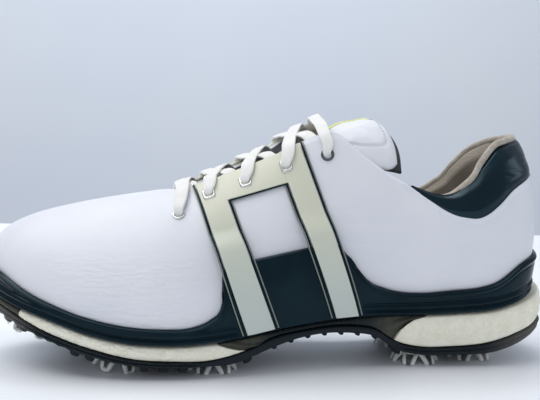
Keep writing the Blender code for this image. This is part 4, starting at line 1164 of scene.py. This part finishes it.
def make_tab(mats):
    """Padded leather tab on its hinge: a crowned pad, a stitched patch and a bright back edge."""
    rows, columns = 90, 110
    share = np.linspace(0, 1, rows)[:, None] + np.zeros((1, columns))
    span = np.linspace(-1, 1, columns)[None, :] + np.zeros((rows, 1))
    squeeze = 1 - 0.10 * np.clip((share - 0.75) / 0.25, 0, 1) ** 2
    middle = tab_sheet(share, span * squeeze)
    across = np.gradient(middle, axis=1)
    along = np.gradient(middle, axis=0)
    normal = unit(np.cross(along, across))
    if normal[rows // 2, columns // 2, 2] < 0:
        normal = -normal
    rim = np.minimum(np.minimum(share, 1 - share) * 2.6, (1 - np.abs(span)) * 2.6)
    body = 1.1 + 2.6 * np.clip(rim, 0, 1) ** 0.45
    wrinkle = ripple(middle * np.array([1, 1.7, 1]), 7, 9.1) * 0.3 + ripple(middle, 3.0, 4.0) * 0.12
    wrinkle = wrinkle - 0.4 * creases(middle, (1.0, 0.35, 0.5), 5, 6.3, 0.14) * ease((share - 0.7) / 0.15)
    patch_share, patch_span, patch_long, patch_wide = 0.44, -0.34, 0.40, 0.38
    u, v = (share - patch_share) / patch_long, (span - patch_span) / patch_wide
    patch = (np.abs(u) ** 5 + np.abs(v) ** 5) ** 0.2
    seam = -0.75 * np.exp(-((patch - 1.0) / 0.045) ** 2)
    lifted = 0.5 * (1 - ease((patch - 0.95) / 0.12))
    top = middle + normal * (body + wrinkle * np.clip(rim, 0, 1) + seam + lifted)[..., None] - CENTRE
    low = middle - normal * (body * 0.75)[..., None] - CENTRE
    count = rows * columns
    upper = grid_faces(rows, columns)
    border = [c for c in range(columns)] + [r * columns + columns - 1 for r in range(1, rows)]
    border += [(rows - 1) * columns + c for c in range(columns - 2, -1, -1)]
    border += [r * columns for r in range(rows - 2, 0, -1)]
    lower = [tuple(count + i for i in reversed(f)) for f in upper]
    rim_faces = [(border[i], border[(i + 1) % len(border)], count + border[(i + 1) % len(border)],
                  count + border[i]) for i in range(len(border))]
    points = np.concatenate([top.reshape(-1, 3), low.reshape(-1, 3)])
    tab = outwards(new_mesh("tongue_tab_pad", points, upper + lower + rim_faces, mats["leather"],
                            "tongue_tab", 0))
    tab.data.materials.append(mats["tongue"])
    for polygon in tab.data.polygons:
        if all(v >= count for v in polygon.vertices):
            polygon.material_index = 1
    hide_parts("tongue_tab")

    c, d = round_square(np.linspace(0, 2 * np.pi, 160), 0.4)
    s_share = patch_share + patch_long * 0.93 * c
    s_span = patch_span + patch_wide * 0.93 * d
    seam_line = tab_sheet(s_share, s_span) - CENTRE
    up = unit(np.stack([0 * s_span, 0.7 * s_span, 0 * s_span + 1.0], -1))
    stitches = stitch_row("tongue_tab_stitches", seam_line + up * 3.95, up, 2.6, 0.3, mats["thread"],
                          "tongue_tab")

    path = tab_sheet(np.linspace(0.02, 0.7, 80), np.full(80, 0.16)) - CENTRE + np.array([0, 0, 3.9])
    wide, out = band_frame(path, [0, 0, 1.0])
    ones = np.ones(80)
    binding = sweep("tongue_tab_yellow_edge", path, wide, out, 3.0 * ones, 2.0 * ones,
                    mats["yellow"], "tongue_tab", 14, 0.9)

    share = np.linspace(0.3, 1, 40)[:, None] + np.zeros((1, 60))
    span = np.linspace(-0.97, 0.97, 60)[None, :] + np.zeros((40, 1))
    shift = np.stack([2.6 * ease((share - 0.3) / 0.7), 0 * share, 0 * share - 1.6], -1)
    under = tab_sheet(share, span) + shift
    backing = new_mesh("tongue_tab_backing", (under - CENTRE).reshape(-1, 3), grid_faces(40, 60),
                       mats["tongue"], "tongue_tab", 0)
    solid = backing.modifiers.new("thickness", "SOLIDIFY")
    solid.thickness = 1.4 * MM
    solid.offset = 0.0


def make_footbed(mats):
    def ends(up):
        return np.full_like(up, 0.07), np.full_like(up, 0.865)

    def dress(x, s, side, up, z):
        return -1.6 * np.clip((up - 0.6) / 0.4, 0, 1) ** 2
    liner = sole_loft("sockliner_pad", ends, 13.6, lambda x: foam_top(x) + 2.3, lambda x: foam_top(x) + 6.8,
                      mats["sockliner"], 160, 12, dress)
    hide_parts("sockliner")
    for node, finish in (("insole_board", "board"), ("heel_counter", "board"), ("toe_puff", "board")):
        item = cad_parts[node]
        item.data.materials.clear()
        item.data.materials.append(mats[finish])
    for name, _, _ in CLEATS:
        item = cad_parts[f"receptacle_{name}"]
        item.data.materials.clear()
        item.data.materials.append(mats["outsole"])


# ---- stage, lights and camera ------------------------------------------------------------
def make_stage():
    floor = Finish("pale table", (0.90, 0.93, 0.97), 0.45)
    floor.vary_colour(floor.noise(300, 2), (0.89, 0.925, 0.97), (0.93, 0.95, 0.985))
    wall = Finish("pale wall", (0.80, 0.86, 0.94), 0.8)
    wall.vary_colour(wall.noise(500, 2), (0.78, 0.84, 0.94), (0.83, 0.88, 0.95))
    for name, corners, finish in (
            ("table", [(-2.5, -2.0, 0), (2.5, -2.0, 0), (2.5, 0.161, 0), (-2.5, 0.86, 0)], floor),
            ("wall", [(-6, 1.6, -1.5), (6, 1.6, -1.5), (6, 1.6, 4.5), (-6, 1.6, 4.5)], wall)):
        mesh = bpy.data.meshes.new(name)
        mesh.from_pydata(corners, [], [(0, 1, 2, 3)])
        mesh.materials.append(finish.material)
        item = bpy.data.objects.new(name, mesh)
        bpy.context.scene.collection.objects.link(item)


def add_area_light(name, place, target, size, power, colour):
    light = bpy.data.lights.new(name, "AREA")
    light.shape = "DISK"
    light.size = size
    light.energy = power
    light.color = colour
    item = bpy.data.objects.new(name, light)
    item.location = place
    item.rotation_euler = (Vector(target) - Vector(place)).to_track_quat("-Z", "Y").to_euler()
    bpy.context.scene.collection.objects.link(item)


def make_lights():
    target = (0, 0, 0.05)
    add_area_light("ceiling", (-0.55, 0.1, 1.4), target, 1.5, 13, (1.0, 0.99, 0.98))
    add_area_light("front", (-0.7, -1.6, 0.9), target, 1.2, 3.0, (0.98, 0.98, 1.0))
    add_area_light("heel_side", (1.3, -0.3, 0.6), target, 0.7, 2.0, (0.95, 0.97, 1.0))
    add_area_light("wall_wash", (0.1, 0.75, 1.5), (0.1, 1.6, 0.2), 1.0, 9.0, (0.96, 0.98, 1.0))
    world = bpy.data.worlds.new("soft room")
    bpy.context.scene.world = world
    world.use_nodes = True
    background = world.node_tree.nodes["Background"]
    background.inputs["Color"].default_value = (0.84, 0.88, 0.96, 1)
    background.inputs["Strength"].default_value = 0.45


def make_camera():
    """Eye level view of the lateral side, a little above, with the toe on the left."""
    azimuth, elevation, roll = math.radians(-7.0), math.radians(9.5), math.radians(1.15)
    data = bpy.data.cameras.new("camera")
    data.sensor_width = 36.0
    data.lens = 64.0
    data.shift_x, data.shift_y = 0.0037, 0.1056
    item = bpy.data.objects.new("camera", data)
    back = Vector((math.sin(azimuth) * math.cos(elevation), -math.cos(azimuth) * math.cos(elevation),
                   math.sin(elevation)))
    item.location = Vector((-0.00136, 0.00274, 0.054)) + back * 0.530
    turn = (-back).to_track_quat("-Z", "Y").to_matrix().to_4x4()
    item.rotation_euler = (turn @ Matrix.Rotation(roll, 4, "Z")).to_euler()
    bpy.context.scene.view_settings.view_transform = "Standard"
    bpy.context.scene.collection.objects.link(item)
    bpy.context.scene.camera = item


def main():
    mats = make_finishes()
    make_stage()
    make_lights()
    make_camera()
    make_foams(mats)
    make_bridge(mats)
    make_outsole(mats)
    make_cleats(mats)
    make_leather(mats)
    make_collar(mats)
    make_frame(mats)
    make_straps(mats)
    make_eyelets(mats)
    make_lace(mats)
    make_tongue(mats)
    make_tab(mats)
    make_footbed(mats)


main()
